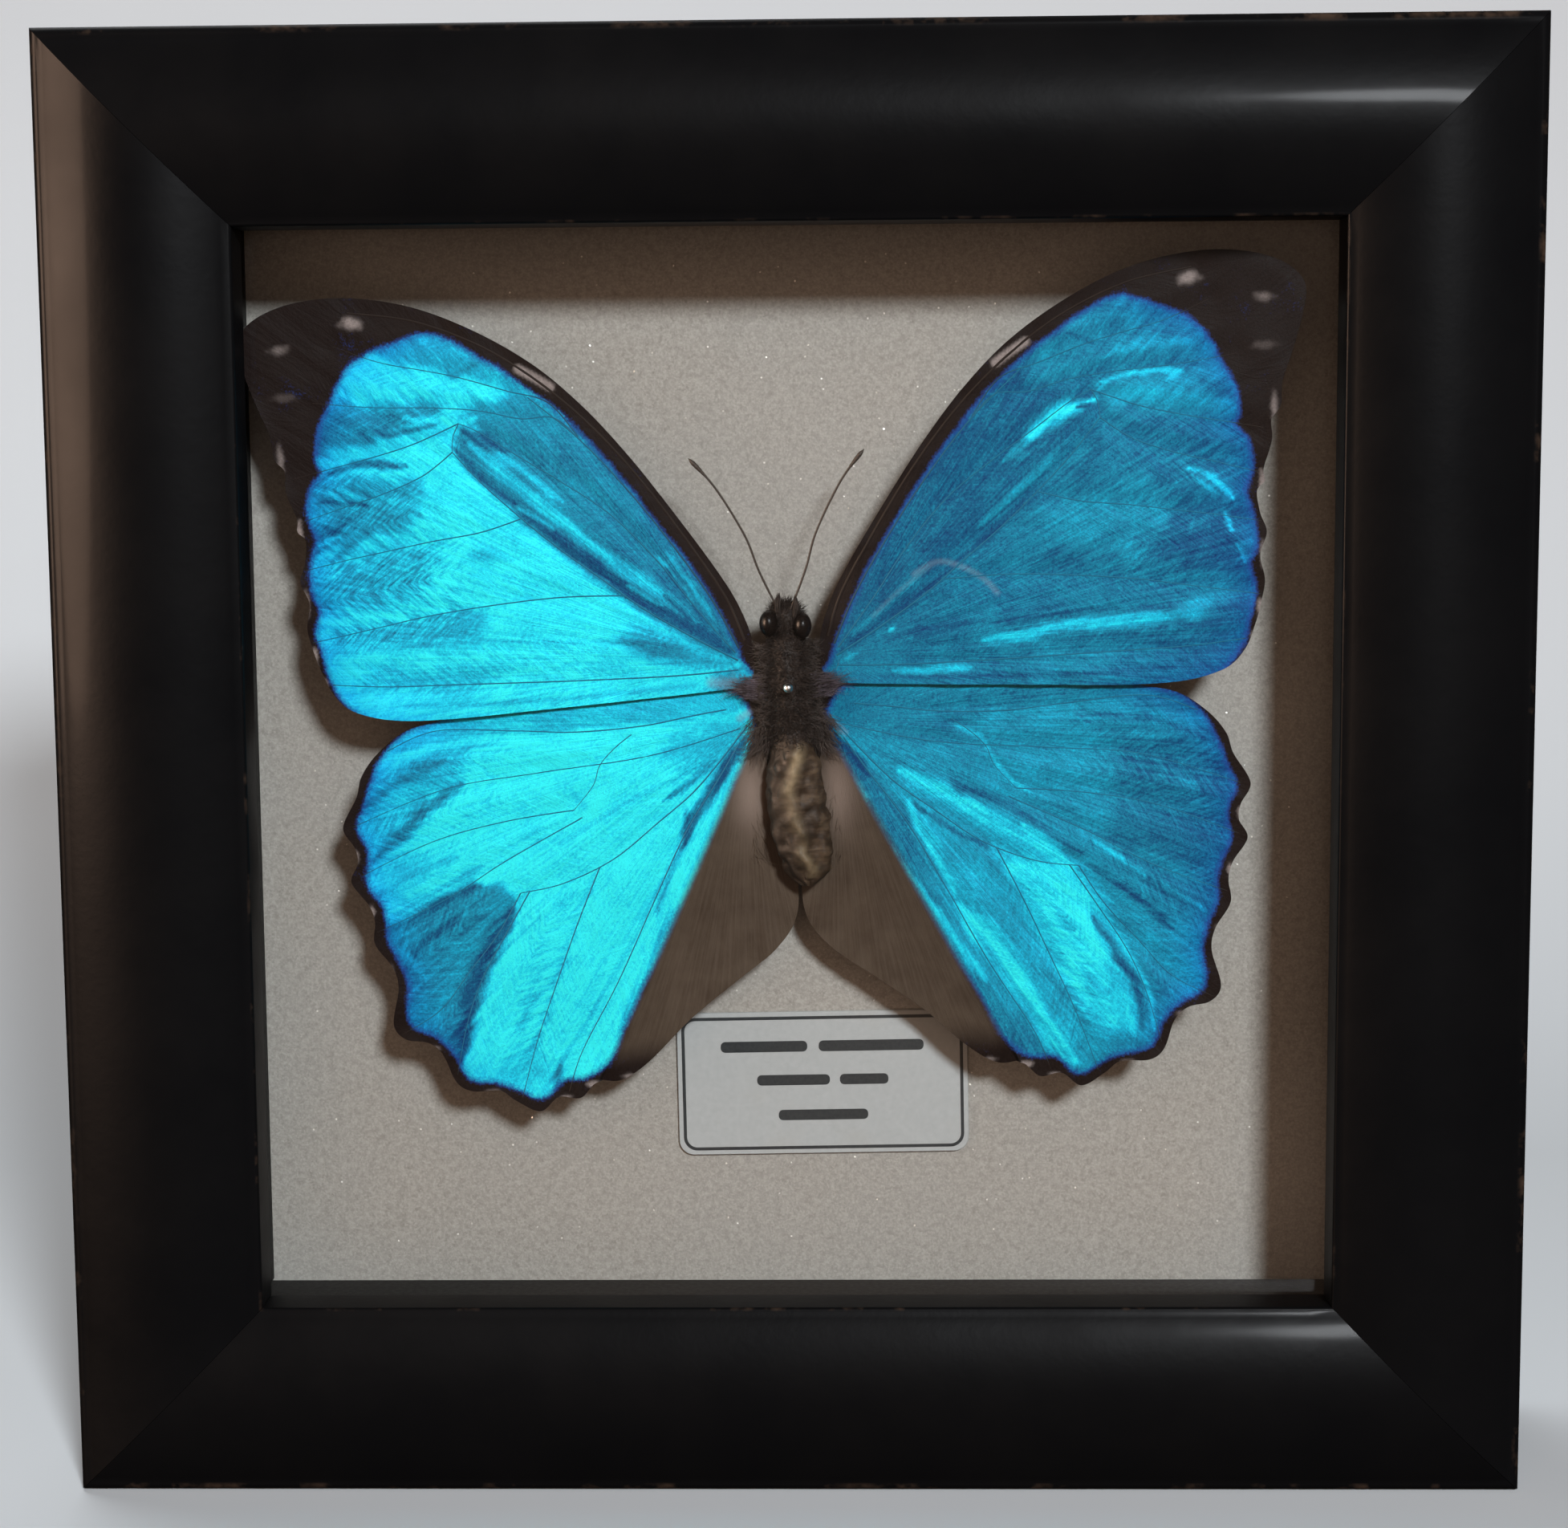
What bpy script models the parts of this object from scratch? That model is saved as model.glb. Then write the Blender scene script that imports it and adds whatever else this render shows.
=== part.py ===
"""Framed butterfly: a deep black shadow box with a pinned blue butterfly behind glass.

Blender 4.5, metres, +Z up.  The glazed front faces -Y and the box stands on z = 0,
centred on x = 0 and y = 0.  Run with: blender --background --python part.py
"""

import math

import bmesh
import bpy
from mathutils import Vector

MM = 0.001
GAP = 0.3 * MM                      # air between neighbouring pieces

# Driving dimensions of the box
FRAME_SIDE = 180 * MM               # outer width and height
FACE_WIDTH = 23.6 * MM              # moulding, outer edge to sight edge
CREST_RISE = 3 * MM                 # how far the moulding's crown stands proud
SIGHT_DEPTH = 5.7 * MM              # lip thickness at the sight edge
LIP_OVERLAP = 6.5 * MM              # how far the lip reaches over the glass
BACK_DEPTH = 35 * MM                # sight edge to the back of the moulding
EDGE_ROUND = 1.2 * MM               # roundover along the outer front edge
CROWN_FULLNESS = 0.85               # below 1, the crown is fuller than a sine arch
CROWN_STEPS = 10
ROUND_STEPS = 4

GLASS_THICK = 2 * MM
MOUNT_FRONT = 24 * MM               # depth of the mount board's face
MOUNT_THICK = 4.7 * MM
BOARD_THICK = 3 * MM
SPACER_THICK = 2.7 * MM

# The insect: outlines are in millimetres from the pin, x outwards and z upwards,
# for the right-hand side.  The left-hand side is their mirror image.
PIN_X = -0.4 * MM
PIN_Z = FRAME_SIDE / 2 + 10.1 * MM
INSECT_TURN = math.radians(2.6)     # it was pinned slightly askew
WING_THICK = 0.5 * MM

FOREWING_OUTLINE = [
    (4.2, 5.5), (5.8, 10.5), (8.6, 15.5), (13.6, 23.0), (18.6, 30.0), (23.8, 36.2),
    (29.5, 41.5), (36.5, 46.0), (44.0, 49.3), (51.5, 50.8), (58.0, 50.6), (63.0, 49.0),
    (65.6, 46.3), (65.2, 42.5), (63.8, 38.0), (61.9, 32.0), (60.4, 26.5), (59.5, 21.5),
    (59.6, 17.0), (59.4, 12.5), (59.3, 8.8), (58.3, 5.2), (56.8, 1.8), (53.6, -0.7),
    (46.0, -1.9), (30.0, -1.3), (7.0, 0.0), (4.6, 1.0),
]
FOREWING_HUB = (6.0, 3.4)
FOREWING_DEPTH = 13.5                       # millimetres, at the pin
FOREWING_RISE = 0.052                       # towards the glass, for each unit outwards

HINDWING_OUTLINE = [
    (4.4, -2.6), (9.0, 0.4), (22.0, 1.6), (35.0, 0.4), (43.5, -2.0), (48.5, -3.2),
    (52.2, -5.8), (54.8, -9.0), (57.2, -15.0), (55.9, -17.6), (56.6, -22.0),
    (54.6, -25.0), (54.2, -30.1), (52.0, -33.4), (52.0, -41.6), (48.4, -43.6),
    (45.2, -46.4), (43.2, -49.8), (39.2, -50.4), (34.6, -52.9), (30.6, -51.4),
    (25.7, -49.8), (20.5, -47.6), (14.5, -41.5), (9.2, -34.6), (6.4, -28.0),
    (5.4, -22.0), (5.2, -15.0), (4.6, -8.0),
]
HINDWING_HUB = (8.0, -6.0)
HINDWING_DEPTH = 14.6
HINDWING_RISE = 0.047
ANAL_FOLD = ((5.8, -7.5), (25.5, -47.0))    # line where the inner margin turns down
FOLD_SLOPE = 0.45
FOLD_DROP = 3.2                             # millimetres, at most

# Body stations from head to tail: height, half width, half depth, sideways shift
BODY_STATIONS = [
    (10.5, 0.7, 0.7, 0.0), (10.0, 1.5, 1.4, 0.0), (8.8, 2.1, 2.0, 0.0),
    (7.4, 2.0, 2.0, 0.0), (6.6, 1.5, 1.6, 0.0), (5.6, 2.6, 2.8, 0.0),
    (3.5, 3.4, 3.6, 0.0), (0.5, 3.6, 3.8, 0.0), (-2.5, 3.2, 3.5, 0.0),
    (-4.8, 2.2, 2.6, 0.0), (-6.0, 2.0, 2.3, 0.0), (-8.0, 2.6, 2.7, 0.0),
    (-12.0, 3.4, 3.1, 0.1), (-17.0, 3.9, 3.1, 0.4), (-21.0, 3.5, 2.7, 0.8),
    (-24.0, 2.3, 2.0, 1.2), (-25.6, 0.9, 0.9, 1.4),
]
BODY_DEPTH = 13.8 * MM
BODY_SIDES = 16

ANTENNA_PATH = [(1.4, 11.0), (3.0, 14.8), (4.5, 19.2), (7.8, 25.2), (10.9, 29.0)]
ANTENNA_RADIUS = 0.3 * MM
ANTENNA_DEPTH = 13 * MM
ANTENNA_RISE = 0.07                 # forward rise for each unit of height

PIN_RADIUS = 0.3 * MM
PIN_HEAD_RADIUS = 0.9 * MM
PIN_HEAD_FRONT = 8.7 * MM           # depth of the top of the head
PIN_HEAD_THICK = 1.1 * MM
PIN_TIP_DEPTH = 27 * MM
PIN_TAPER = 1.5 * MM                # length of the sharpened end
PIN_SIDES = 12

LABEL_WIDTH = 38.2 * MM
LABEL_HEIGHT = 19.0 * MM
LABEL_THICK = 0.35 * MM
LABEL_CORNER = 2 * MM
LABEL_CENTRE = (3.5 * MM, FRAME_SIDE / 2 - 43.1 * MM)
LABEL_TURN = math.radians(0.8)

# Hardware on the back
POINT_LENGTH = 11 * MM
POINT_WIDTH = 6 * MM
POINT_THICK = 0.5 * MM
POINT_BITE = 3.6 * MM               # length driven into the moulding
POINT_OFFSET = 38 * MM              # from the middle of each rail
SLOT_OPEN = 1 * MM                  # how far a slot's cutter stands out of the wood
HANGER_LENGTH = 44 * MM
HANGER_HEIGHT = 8 * MM
HANGER_THICK = 0.8 * MM
HANGER_FOOT = 9 * MM                # flat end that the nail goes through
HANGER_LIFT = 1.1 * MM              # how far the toothed middle stands off the board
HANGER_STEP = 1.2 * MM              # length of the slope up to it
HANGER_Z = FRAME_SIDE / 2 + 62 * MM
TOOTH_COUNT = 8
TOOTH_DEPTH = 1.6 * MM
NAIL_RADIUS = 0.6 * MM
NAIL_HEAD_RADIUS = 1.5 * MM
NAIL_HEAD_THICK = 0.6 * MM
NAIL_BITE = 2.2 * MM                # depth of the nail in the board
NAIL_SIDES = 14
MERGE_DISTANCE = 0.01 * MM          # joins the seam of a turned shape

# Sizes that follow from those
TOTAL_DEPTH = BACK_DEPTH + CREST_RISE
FRONT_Y = -TOTAL_DEPTH / 2 + CREST_RISE     # y of the sight edge's plane
RABBET_W = FACE_WIDTH - LIP_OVERLAP         # outer edge to the rabbet wall
GLASS_FRONT = SIGHT_DEPTH + GAP
GLASS_BACK = GLASS_FRONT + GLASS_THICK
BOARD_FRONT = MOUNT_FRONT + MOUNT_THICK + GAP
BOARD_BACK = BOARD_FRONT + BOARD_THICK
PANE_SIDE = FRAME_SIDE - 2 * (RABBET_W + GAP)
CENTRE_Z = FRAME_SIDE / 2


def at_depth(depth):
    """World y of a plane this far behind the sight edge's front."""
    return FRONT_Y + depth


def clear_scene():
    for obj in list(bpy.data.objects):
        bpy.data.objects.remove(obj, do_unlink=True)


def make_material(name, colour, roughness, metallic=0.0, transmission=0.0):
    material = bpy.data.materials.new(name)
    material.use_nodes = True
    shader = material.node_tree.nodes["Principled BSDF"]
    shader.inputs["Base Color"].default_value = (*colour, 1.0)
    shader.inputs["Roughness"].default_value = roughness
    shader.inputs["Metallic"].default_value = metallic
    shader.inputs["Transmission Weight"].default_value = transmission
    return material


def add_object(name, bm, material, smooth_angle=None):
    bmesh.ops.recalc_face_normals(bm, faces=bm.faces)
    mesh = bpy.data.meshes.new(name)
    bm.to_mesh(mesh)
    bm.free()
    mesh.materials.append(material)
    if smooth_angle is not None:
        mesh.shade_smooth()
        mesh.set_sharp_from_angle(angle=smooth_angle)
    obj = bpy.data.objects.new(name, mesh)
    bpy.context.scene.collection.objects.link(obj)
    return obj


def prism(bm, outline, extrusion):
    """Closed prism: the outline's points, and the same points moved by the extrusion."""
    near = [bm.verts.new(point) for point in outline]
    far = [bm.verts.new(Vector(point) + Vector(extrusion)) for point in outline]
    bm.faces.new(near)
    bm.faces.new(far[::-1])
    for i, vert in enumerate(near):
        j = (i + 1) % len(near)
        bm.faces.new((near[j], vert, far[i], far[j]))


def box(bm, low, high):
    x0, y0, z0 = low
    x1, y1, z1 = high
    outline = [(x0, y0, z0), (x1, y0, z0), (x1, y0, z1), (x0, y0, z1)]
    prism(bm, outline, (0, y1 - y0, 0))


def cut(target, cutters):
    """Subtract each cutter from the target and leave the cutters as hidden guides."""
    for cutter in cutters:
        cutter.hide_render = True
        cutter.display_type = "WIRE"
        modifier = target.modifiers.new(cutter.name, "BOOLEAN")
        modifier.operation = "DIFFERENCE"
        modifier.solver = "EXACT"
        modifier.object = cutter


def rod(bm, x, z, radius, depth_from, depth_to, sides=16):
    """Cylinder that runs straight back from one depth to another."""
    ring = []
    for i in range(sides):
        angle = math.tau * i / sides
        ring.append((x + radius * math.cos(angle), at_depth(depth_from), z + radius * math.sin(angle)))
    prism(bm, ring, (0, depth_to - depth_from, 0))


# ---- frame -------------------------------------------------------------------

def moulding_section():
    """(distance from the outer edge, depth) round the moulding's section."""
    section = [(0.0, BACK_DEPTH)]
    for i in range(ROUND_STEPS + 1):
        angle = math.radians(90 * i / ROUND_STEPS)
        section.append((EDGE_ROUND * (1 - math.cos(angle)), EDGE_ROUND * (1 - math.sin(angle))))
    crown_width = FACE_WIDTH - EDGE_ROUND
    for i in range(1, CROWN_STEPS + 1):
        t = i / CROWN_STEPS
        rise = CREST_RISE * math.sin(math.pi * t) ** CROWN_FULLNESS if t < 1 else 0.0
        section.append((EDGE_ROUND + crown_width * t, -rise))
    section.append((FACE_WIDTH, SIGHT_DEPTH))
    section.append((RABBET_W, SIGHT_DEPTH))
    section.append((RABBET_W, BACK_DEPTH))
    return section


def make_rail(name, turn, material):
    """One mitred rail.  It is laid out as the bottom one, then turned about the centre."""
    bm = bmesh.new()
    rings = []
    for end in (-1, 1):
        ring = []
        for width, depth in moulding_section():
            half_length = FRAME_SIDE / 2 - width - 0.75 * GAP
            ring.append(bm.verts.new((end * half_length, at_depth(depth), width)))
        rings.append(ring)
    bm.faces.new(rings[0])
    bm.faces.new(rings[1][::-1])
    for i, vert in enumerate(rings[0]):
        j = (i + 1) % len(rings[0])
        bm.faces.new((rings[0][j], vert, rings[1][i], rings[1][j]))
    turn_about_centre(bm, turn)
    return add_object(name, bm, material, math.radians(35))


def turn_about_centre(bm, quarter_turns):
    angle = math.radians(90 * quarter_turns)
    for vert in bm.verts:
        x, z = vert.co.x, vert.co.z - CENTRE_Z
        vert.co.x = x * math.cos(angle) - z * math.sin(angle)
        vert.co.z = CENTRE_Z + x * math.sin(angle) + z * math.cos(angle)


def point_outline(length, width, bite):
    """Framer's point seen from behind: a strip whose driven end tapers."""
    tip = RABBET_W - bite
    shoulder = RABBET_W + 0.4 * bite
    end = tip + length
    half = width / 2
    return [(-half, end), (half, end), (half, shoulder), (0.25 * half, tip), (-0.25 * half, tip),
            (-half, shoulder)]


def make_points(rails, steel):
    """Two framer's points a rail, each in a slot cut in the rabbet wall."""
    for quarter, (side, rail) in enumerate(rails.items()):
        for number, offset in ((1, -POINT_OFFSET), (2, POINT_OFFSET)):
            depth = BOARD_BACK + GAP
            bm = bmesh.new()
            outline = point_outline(POINT_LENGTH, POINT_WIDTH, POINT_BITE)
            prism(bm, [(offset + x, at_depth(depth), z) for x, z in outline], (0, POINT_THICK, 0))
            turn_about_centre(bm, quarter)
            add_object(f"framers_point_{side}_{number}", bm, steel)

            bm = bmesh.new()
            half = POINT_WIDTH / 2 + GAP
            low = (offset - half, at_depth(depth - GAP), RABBET_W - POINT_BITE - GAP)
            high = (offset + half, at_depth(depth + POINT_THICK + GAP), RABBET_W + SLOT_OPEN)
            box(bm, low, high)
            turn_about_centre(bm, quarter)
            cutter = add_object(f"slot_{side}_{number}", bm, steel)
            cut(rail, [cutter])


def make_panel(name, side, depth_from, depth_to, material):
    bm = bmesh.new()
    half = side / 2
    low = (-half, at_depth(depth_from), CENTRE_Z - half)
    high = (half, at_depth(depth_to), CENTRE_Z + half)
    box(bm, low, high)
    return add_object(name, bm, material)


def make_spacers(names, material):
    """Strips that hold the glass off the mount board, butted end to end round the box."""
    outer = PANE_SIDE / 2
    inner = outer - SPACER_THICK
    for quarter, name in enumerate(names):
        bm = bmesh.new()
        low = (-outer, at_depth(GLASS_BACK + GAP), CENTRE_Z - outer)
        high = (inner - GAP, at_depth(MOUNT_FRONT - GAP), CENTRE_Z - inner)
        box(bm, low, high)
        turn_about_centre(bm, quarter)
        add_object(name, bm, material)


def make_label(material):
    """Card label with rounded corners, laid on the mount board."""
    bm = bmesh.new()
    outline = []
    corner_steps = 5
    for quarter in range(4):
        sign_x = 1 if quarter in (0, 3) else -1
        sign_z = 1 if quarter in (0, 1) else -1
        for i in range(corner_steps + 1):
            angle = math.radians(90 * (quarter + i / corner_steps))
            x = sign_x * (LABEL_WIDTH / 2 - LABEL_CORNER) + LABEL_CORNER * math.cos(angle)
            z = sign_z * (LABEL_HEIGHT / 2 - LABEL_CORNER) + LABEL_CORNER * math.sin(angle)
            turned_x = x * math.cos(LABEL_TURN) - z * math.sin(LABEL_TURN)
            turned_z = x * math.sin(LABEL_TURN) + z * math.cos(LABEL_TURN)
            outline.append((LABEL_CENTRE[0] + turned_x,
                            at_depth(MOUNT_FRONT - GAP - LABEL_THICK),
                            LABEL_CENTRE[1] + turned_z))
    prism(bm, outline, (0, LABEL_THICK, 0))
    return add_object("label", bm, material)


# ---- insect ------------------------------------------------------------------

def place(side, x_mm, z_mm, depth):
    """World point of a place on the insect; side is 1 for the right and -1 for the left."""
    x = side * x_mm * MM
    z = z_mm * MM
    return (PIN_X + x * math.cos(INSECT_TURN) - z * math.sin(INSECT_TURN),
            at_depth(depth),
            PIN_Z + x * math.sin(INSECT_TURN) + z * math.cos(INSECT_TURN))


def smooth_points(points, steps, closed):
    """Points on a Catmull-Rom curve through the given ones."""
    count = len(points)
    made = []
    for i in range(count if closed else count - 1):
        indices = [i - 1, i, i + 1, i + 2]
        if closed:
            indices = [k % count for k in indices]
        else:
            indices = [min(max(k, 0), count - 1) for k in indices]
        p0, p1, p2, p3 = (Vector(points[k]) for k in indices)
        for k in range(steps):
            t = k / steps
            made.append(0.5 * (2 * p1 + (p2 - p0) * t + (2 * p0 - 5 * p1 + 4 * p2 - p3) * t ** 2
                               + (3 * p1 - p0 - 3 * p2 + p3) * t ** 3))
    if not closed:
        made.append(Vector(points[-1]))
    return made


def forewing_depth(x, _z):
    """Depth of the forewing, which rises towards the glass at its tip."""
    return (FOREWING_DEPTH - FOREWING_RISE * x) * MM


def hindwing_depth(x, z):
    """Depth of the hindwing, whose inner margin is folded down beside the abdomen."""
    start, end = Vector(ANAL_FOLD[0]), Vector(ANAL_FOLD[1])
    along = (end - start).normalized()
    offset = Vector((x, z)) - start
    inside = max(0.0, -offset.cross(along)) if z < start.y else 0.0
    return (HINDWING_DEPTH - HINDWING_RISE * x + min(FOLD_DROP, FOLD_SLOPE * inside)) * MM


def make_wing(name, side, outline, hub, depth_at, material):
    """Thin closed plate: rings of points between the hub and the outline, front and back."""
    bm = bmesh.new()
    rim = smooth_points(outline, 2, closed=True)
    centre = Vector(hub)
    layers = []
    for offset in (-WING_THICK / 2, WING_THICK / 2):
        hub_vert = bm.verts.new(place(side, *centre, depth_at(*centre) + offset))
        rings = []
        for fraction in (0.4, 0.72, 1.0):
            ring = []
            for point in rim:
                x, z = centre.lerp(point, fraction)
                ring.append(bm.verts.new(place(side, x, z, depth_at(x, z) + offset)))
            rings.append(ring)
        layers.append(rings)
        for i in range(len(rim)):
            j = (i + 1) % len(rim)
            bm.faces.new((hub_vert, rings[0][i], rings[0][j]))
            for near, far in zip(rings, rings[1:]):
                bm.faces.new((near[i], far[i], far[j], near[j]))
    front, back = layers[0][-1], layers[1][-1]
    for i in range(len(rim)):
        j = (i + 1) % len(rim)
        bm.faces.new((front[i], back[i], back[j], front[j]))
    return add_object(name, bm, material, math.radians(40))


def make_body(material):
    """Head, thorax and shrivelled abdomen in one, lofted through the stations."""
    bm = bmesh.new()
    rings = []
    for height, half_width, half_depth, shift in BODY_STATIONS:
        ring = []
        for i in range(BODY_SIDES):
            angle = math.tau * i / BODY_SIDES
            x = shift + half_width * math.cos(angle)
            depth = BODY_DEPTH + half_depth * MM * math.sin(angle)
            ring.append(bm.verts.new(place(1, x, height, depth)))
        rings.append(ring)
    bm.faces.new(rings[0])
    bm.faces.new(rings[-1][::-1])
    for near, far in zip(rings, rings[1:]):
        for i in range(BODY_SIDES):
            j = (i + 1) % BODY_SIDES
            bm.faces.new((near[j], near[i], far[i], far[j]))
    return add_object("butterfly_body", bm, material, math.radians(50))


def make_antenna(name, side, material):
    curve = bpy.data.curves.new(name, "CURVE")
    curve.dimensions = "3D"
    curve.bevel_depth = ANTENNA_RADIUS
    curve.bevel_resolution = 1
    curve.use_fill_caps = True
    points = smooth_points(ANTENNA_PATH, 3, closed=False)
    spline = curve.splines.new("POLY")
    spline.points.add(len(points) - 1)
    for i, (x, z) in enumerate(points):
        depth = ANTENNA_DEPTH - ANTENNA_RISE * z * MM
        spline.points[i].co = (*place(side, x, z, depth), 1.0)
    curve.materials.append(material)
    obj = bpy.data.objects.new(name, curve)
    bpy.context.scene.collection.objects.link(obj)
    return obj


def make_pin(material):
    """Insect pin: a small turned head on a straight shank that ends in a point."""
    head_back = PIN_HEAD_FRONT + PIN_HEAD_THICK
    profile = [(0.6 * PIN_HEAD_RADIUS, PIN_HEAD_FRONT + 0.1 * PIN_HEAD_THICK),
               (PIN_HEAD_RADIUS, PIN_HEAD_FRONT + 0.36 * PIN_HEAD_THICK),
               (PIN_HEAD_RADIUS, PIN_HEAD_FRONT + 0.64 * PIN_HEAD_THICK),
               (0.55 * PIN_HEAD_RADIUS, PIN_HEAD_FRONT + 0.9 * PIN_HEAD_THICK),
               (PIN_RADIUS, head_back), (PIN_RADIUS, PIN_TIP_DEPTH - PIN_TAPER)]
    bm = bmesh.new()
    rings = []
    for radius, depth in profile:
        ring = []
        for i in range(PIN_SIDES):
            angle = math.tau * i / PIN_SIDES
            ring.append(bm.verts.new((PIN_X + radius * math.cos(angle), at_depth(depth),
                                      PIN_Z + radius * math.sin(angle))))
        rings.append(ring)
    top = bm.verts.new((PIN_X, at_depth(PIN_HEAD_FRONT), PIN_Z))
    tip = bm.verts.new((PIN_X, at_depth(PIN_TIP_DEPTH), PIN_Z))
    for i in range(PIN_SIDES):
        j = (i + 1) % PIN_SIDES
        bm.faces.new((top, rings[0][i], rings[0][j]))
        bm.faces.new((tip, rings[-1][j], rings[-1][i]))
        for near, far in zip(rings, rings[1:]):
            bm.faces.new((near[i], far[i], far[j], near[j]))
    return add_object("insect_pin", bm, material, math.radians(40))


# ---- hardware ----------------------------------------------------------------

def make_hanger(material):
    """Sawtooth hanger: flat ends, a raised middle, and teeth along its lower edge."""
    half = HANGER_LENGTH / 2
    inner = half - HANGER_FOOT
    stations = [(-half, 0.0, 0.0), (-inner, 0.0, 0.0)]
    tooth_pitch = 2 * (inner - HANGER_STEP) / TOOTH_COUNT
    for i in range(2 * TOOTH_COUNT + 1):
        x = -inner + HANGER_STEP + i * tooth_pitch / 2
        stations.append((x, HANGER_LIFT, TOOTH_DEPTH * (i % 2)))
    stations += [(inner, 0.0, 0.0), (half, 0.0, 0.0)]
    bm = bmesh.new()
    rings = []
    for x, lift, notch in stations:
        near = at_depth(BOARD_BACK + GAP + lift)
        far = near + HANGER_THICK
        top = HANGER_Z + HANGER_HEIGHT / 2
        bottom = HANGER_Z - HANGER_HEIGHT / 2 + notch
        rings.append([bm.verts.new(co) for co in
                      ((x, near, bottom), (x, near, top), (x, far, top), (x, far, bottom))])
    bm.faces.new(rings[0])
    bm.faces.new(rings[-1][::-1])
    for left, right in zip(rings, rings[1:]):
        for i in range(4):
            j = (i + 1) % 4
            bm.faces.new((left[j], left[i], right[i], right[j]))
    return add_object("sawtooth_hanger", bm, material)


def make_hanger_nails(hanger, board, material):
    nail_x = (HANGER_LENGTH - HANGER_FOOT) / 2
    head_from = BOARD_BACK + 2 * GAP + HANGER_THICK
    for side, x in (("left", -nail_x), ("right", nail_x)):
        profile = [(0.0, BOARD_BACK - NAIL_BITE), (NAIL_RADIUS, BOARD_BACK - 0.6 * NAIL_BITE),
                   (NAIL_RADIUS, head_from), (NAIL_HEAD_RADIUS, head_from),
                   (NAIL_HEAD_RADIUS, head_from + 0.7 * NAIL_HEAD_THICK),
                   (0.0, head_from + NAIL_HEAD_THICK)]
        bm = bmesh.new()
        verts = [bm.verts.new((x + r, at_depth(depth), HANGER_Z)) for r, depth in profile]
        edges = [bm.edges.new(pair) for pair in zip(verts, verts[1:])]
        bmesh.ops.spin(bm, geom=verts + edges, cent=(x, 0, HANGER_Z), axis=(0, 1, 0),
                       angle=math.tau, steps=NAIL_SIDES)
        bmesh.ops.remove_doubles(bm, verts=bm.verts, dist=MERGE_DISTANCE)
        add_object(f"hanger_nail_{side}", bm, material, math.radians(40))

        bm = bmesh.new()
        rod(bm, x, HANGER_Z, NAIL_RADIUS + GAP, BOARD_BACK - NAIL_BITE - GAP,
            head_from + NAIL_HEAD_THICK)
        cutter = add_object(f"nail_hole_{side}", bm, material)
        cut(hanger, [cutter])
        cut(board, [cutter])


def build():
    clear_scene()
    lacquer = make_material("black_lacquer", (0.012, 0.011, 0.011), 0.28)
    glass = make_material("clear_glass", (0.95, 0.98, 0.96), 0.02, transmission=1.0)
    grey_card = make_material("grey_card", (0.39, 0.36, 0.32), 0.85)
    brown_board = make_material("brown_board", (0.26, 0.17, 0.10), 0.8)
    black_strip = make_material("black_strip", (0.02, 0.02, 0.02), 0.7)
    white_card = make_material("white_card", (0.72, 0.75, 0.75), 0.7)
    steel = make_material("bright_steel", (0.6, 0.6, 0.6), 0.3, metallic=1.0)
    brassed = make_material("brassed_steel", (0.65, 0.48, 0.22), 0.35, metallic=1.0)
    wing_blue = make_material("wing_blue", (0.01, 0.42, 0.62), 0.4, metallic=0.6)
    body_brown = make_material("body_brown", (0.09, 0.05, 0.03), 0.8)

    rails = {
        side: make_rail(f"frame_rail_{side}", quarter, lacquer)
        for quarter, side in enumerate(("bottom", "right", "top", "left"))
    }
    make_panel("glass_pane", PANE_SIDE, GLASS_FRONT, GLASS_BACK, glass)
    make_spacers([f"spacer_{side}" for side in rails], black_strip)
    mount = make_panel("mount_board", PANE_SIDE, MOUNT_FRONT, MOUNT_FRONT + MOUNT_THICK, grey_card)
    board = make_panel("back_board", PANE_SIDE, BOARD_FRONT, BOARD_BACK, brown_board)
    make_points(rails, steel)
    make_label(white_card)

    body = make_body(body_brown)
    wings = (
        ("forewing", FOREWING_OUTLINE, FOREWING_HUB, forewing_depth),
        ("hindwing", HINDWING_OUTLINE, HINDWING_HUB, hindwing_depth),
    )
    for side_name, side in (("left", -1), ("right", 1)):
        for kind, outline, hub, depth_at in wings:
            make_wing(f"{kind}_{side_name}", side, outline, hub, depth_at, wing_blue)
        make_antenna(f"antenna_{side_name}", side, body_brown)

    make_pin(steel)
    bm = bmesh.new()
    rod(bm, PIN_X, PIN_Z, PIN_RADIUS + GAP, PIN_HEAD_FRONT + PIN_HEAD_THICK - GAP,
        PIN_TIP_DEPTH + GAP, sides=PIN_SIDES)
    pin_hole = add_object("pin_hole", bm, steel)
    cut(body, [pin_hole])
    cut(mount, [pin_hole])

    hanger = make_hanger(brassed)
    make_hanger_nails(hanger, board, steel)


build()
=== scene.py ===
# Framed butterfly specimen: finishes, wings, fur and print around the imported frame.
import math

import bmesh
import bpy
import numpy as np
from mathutils import Matrix, Vector


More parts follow.
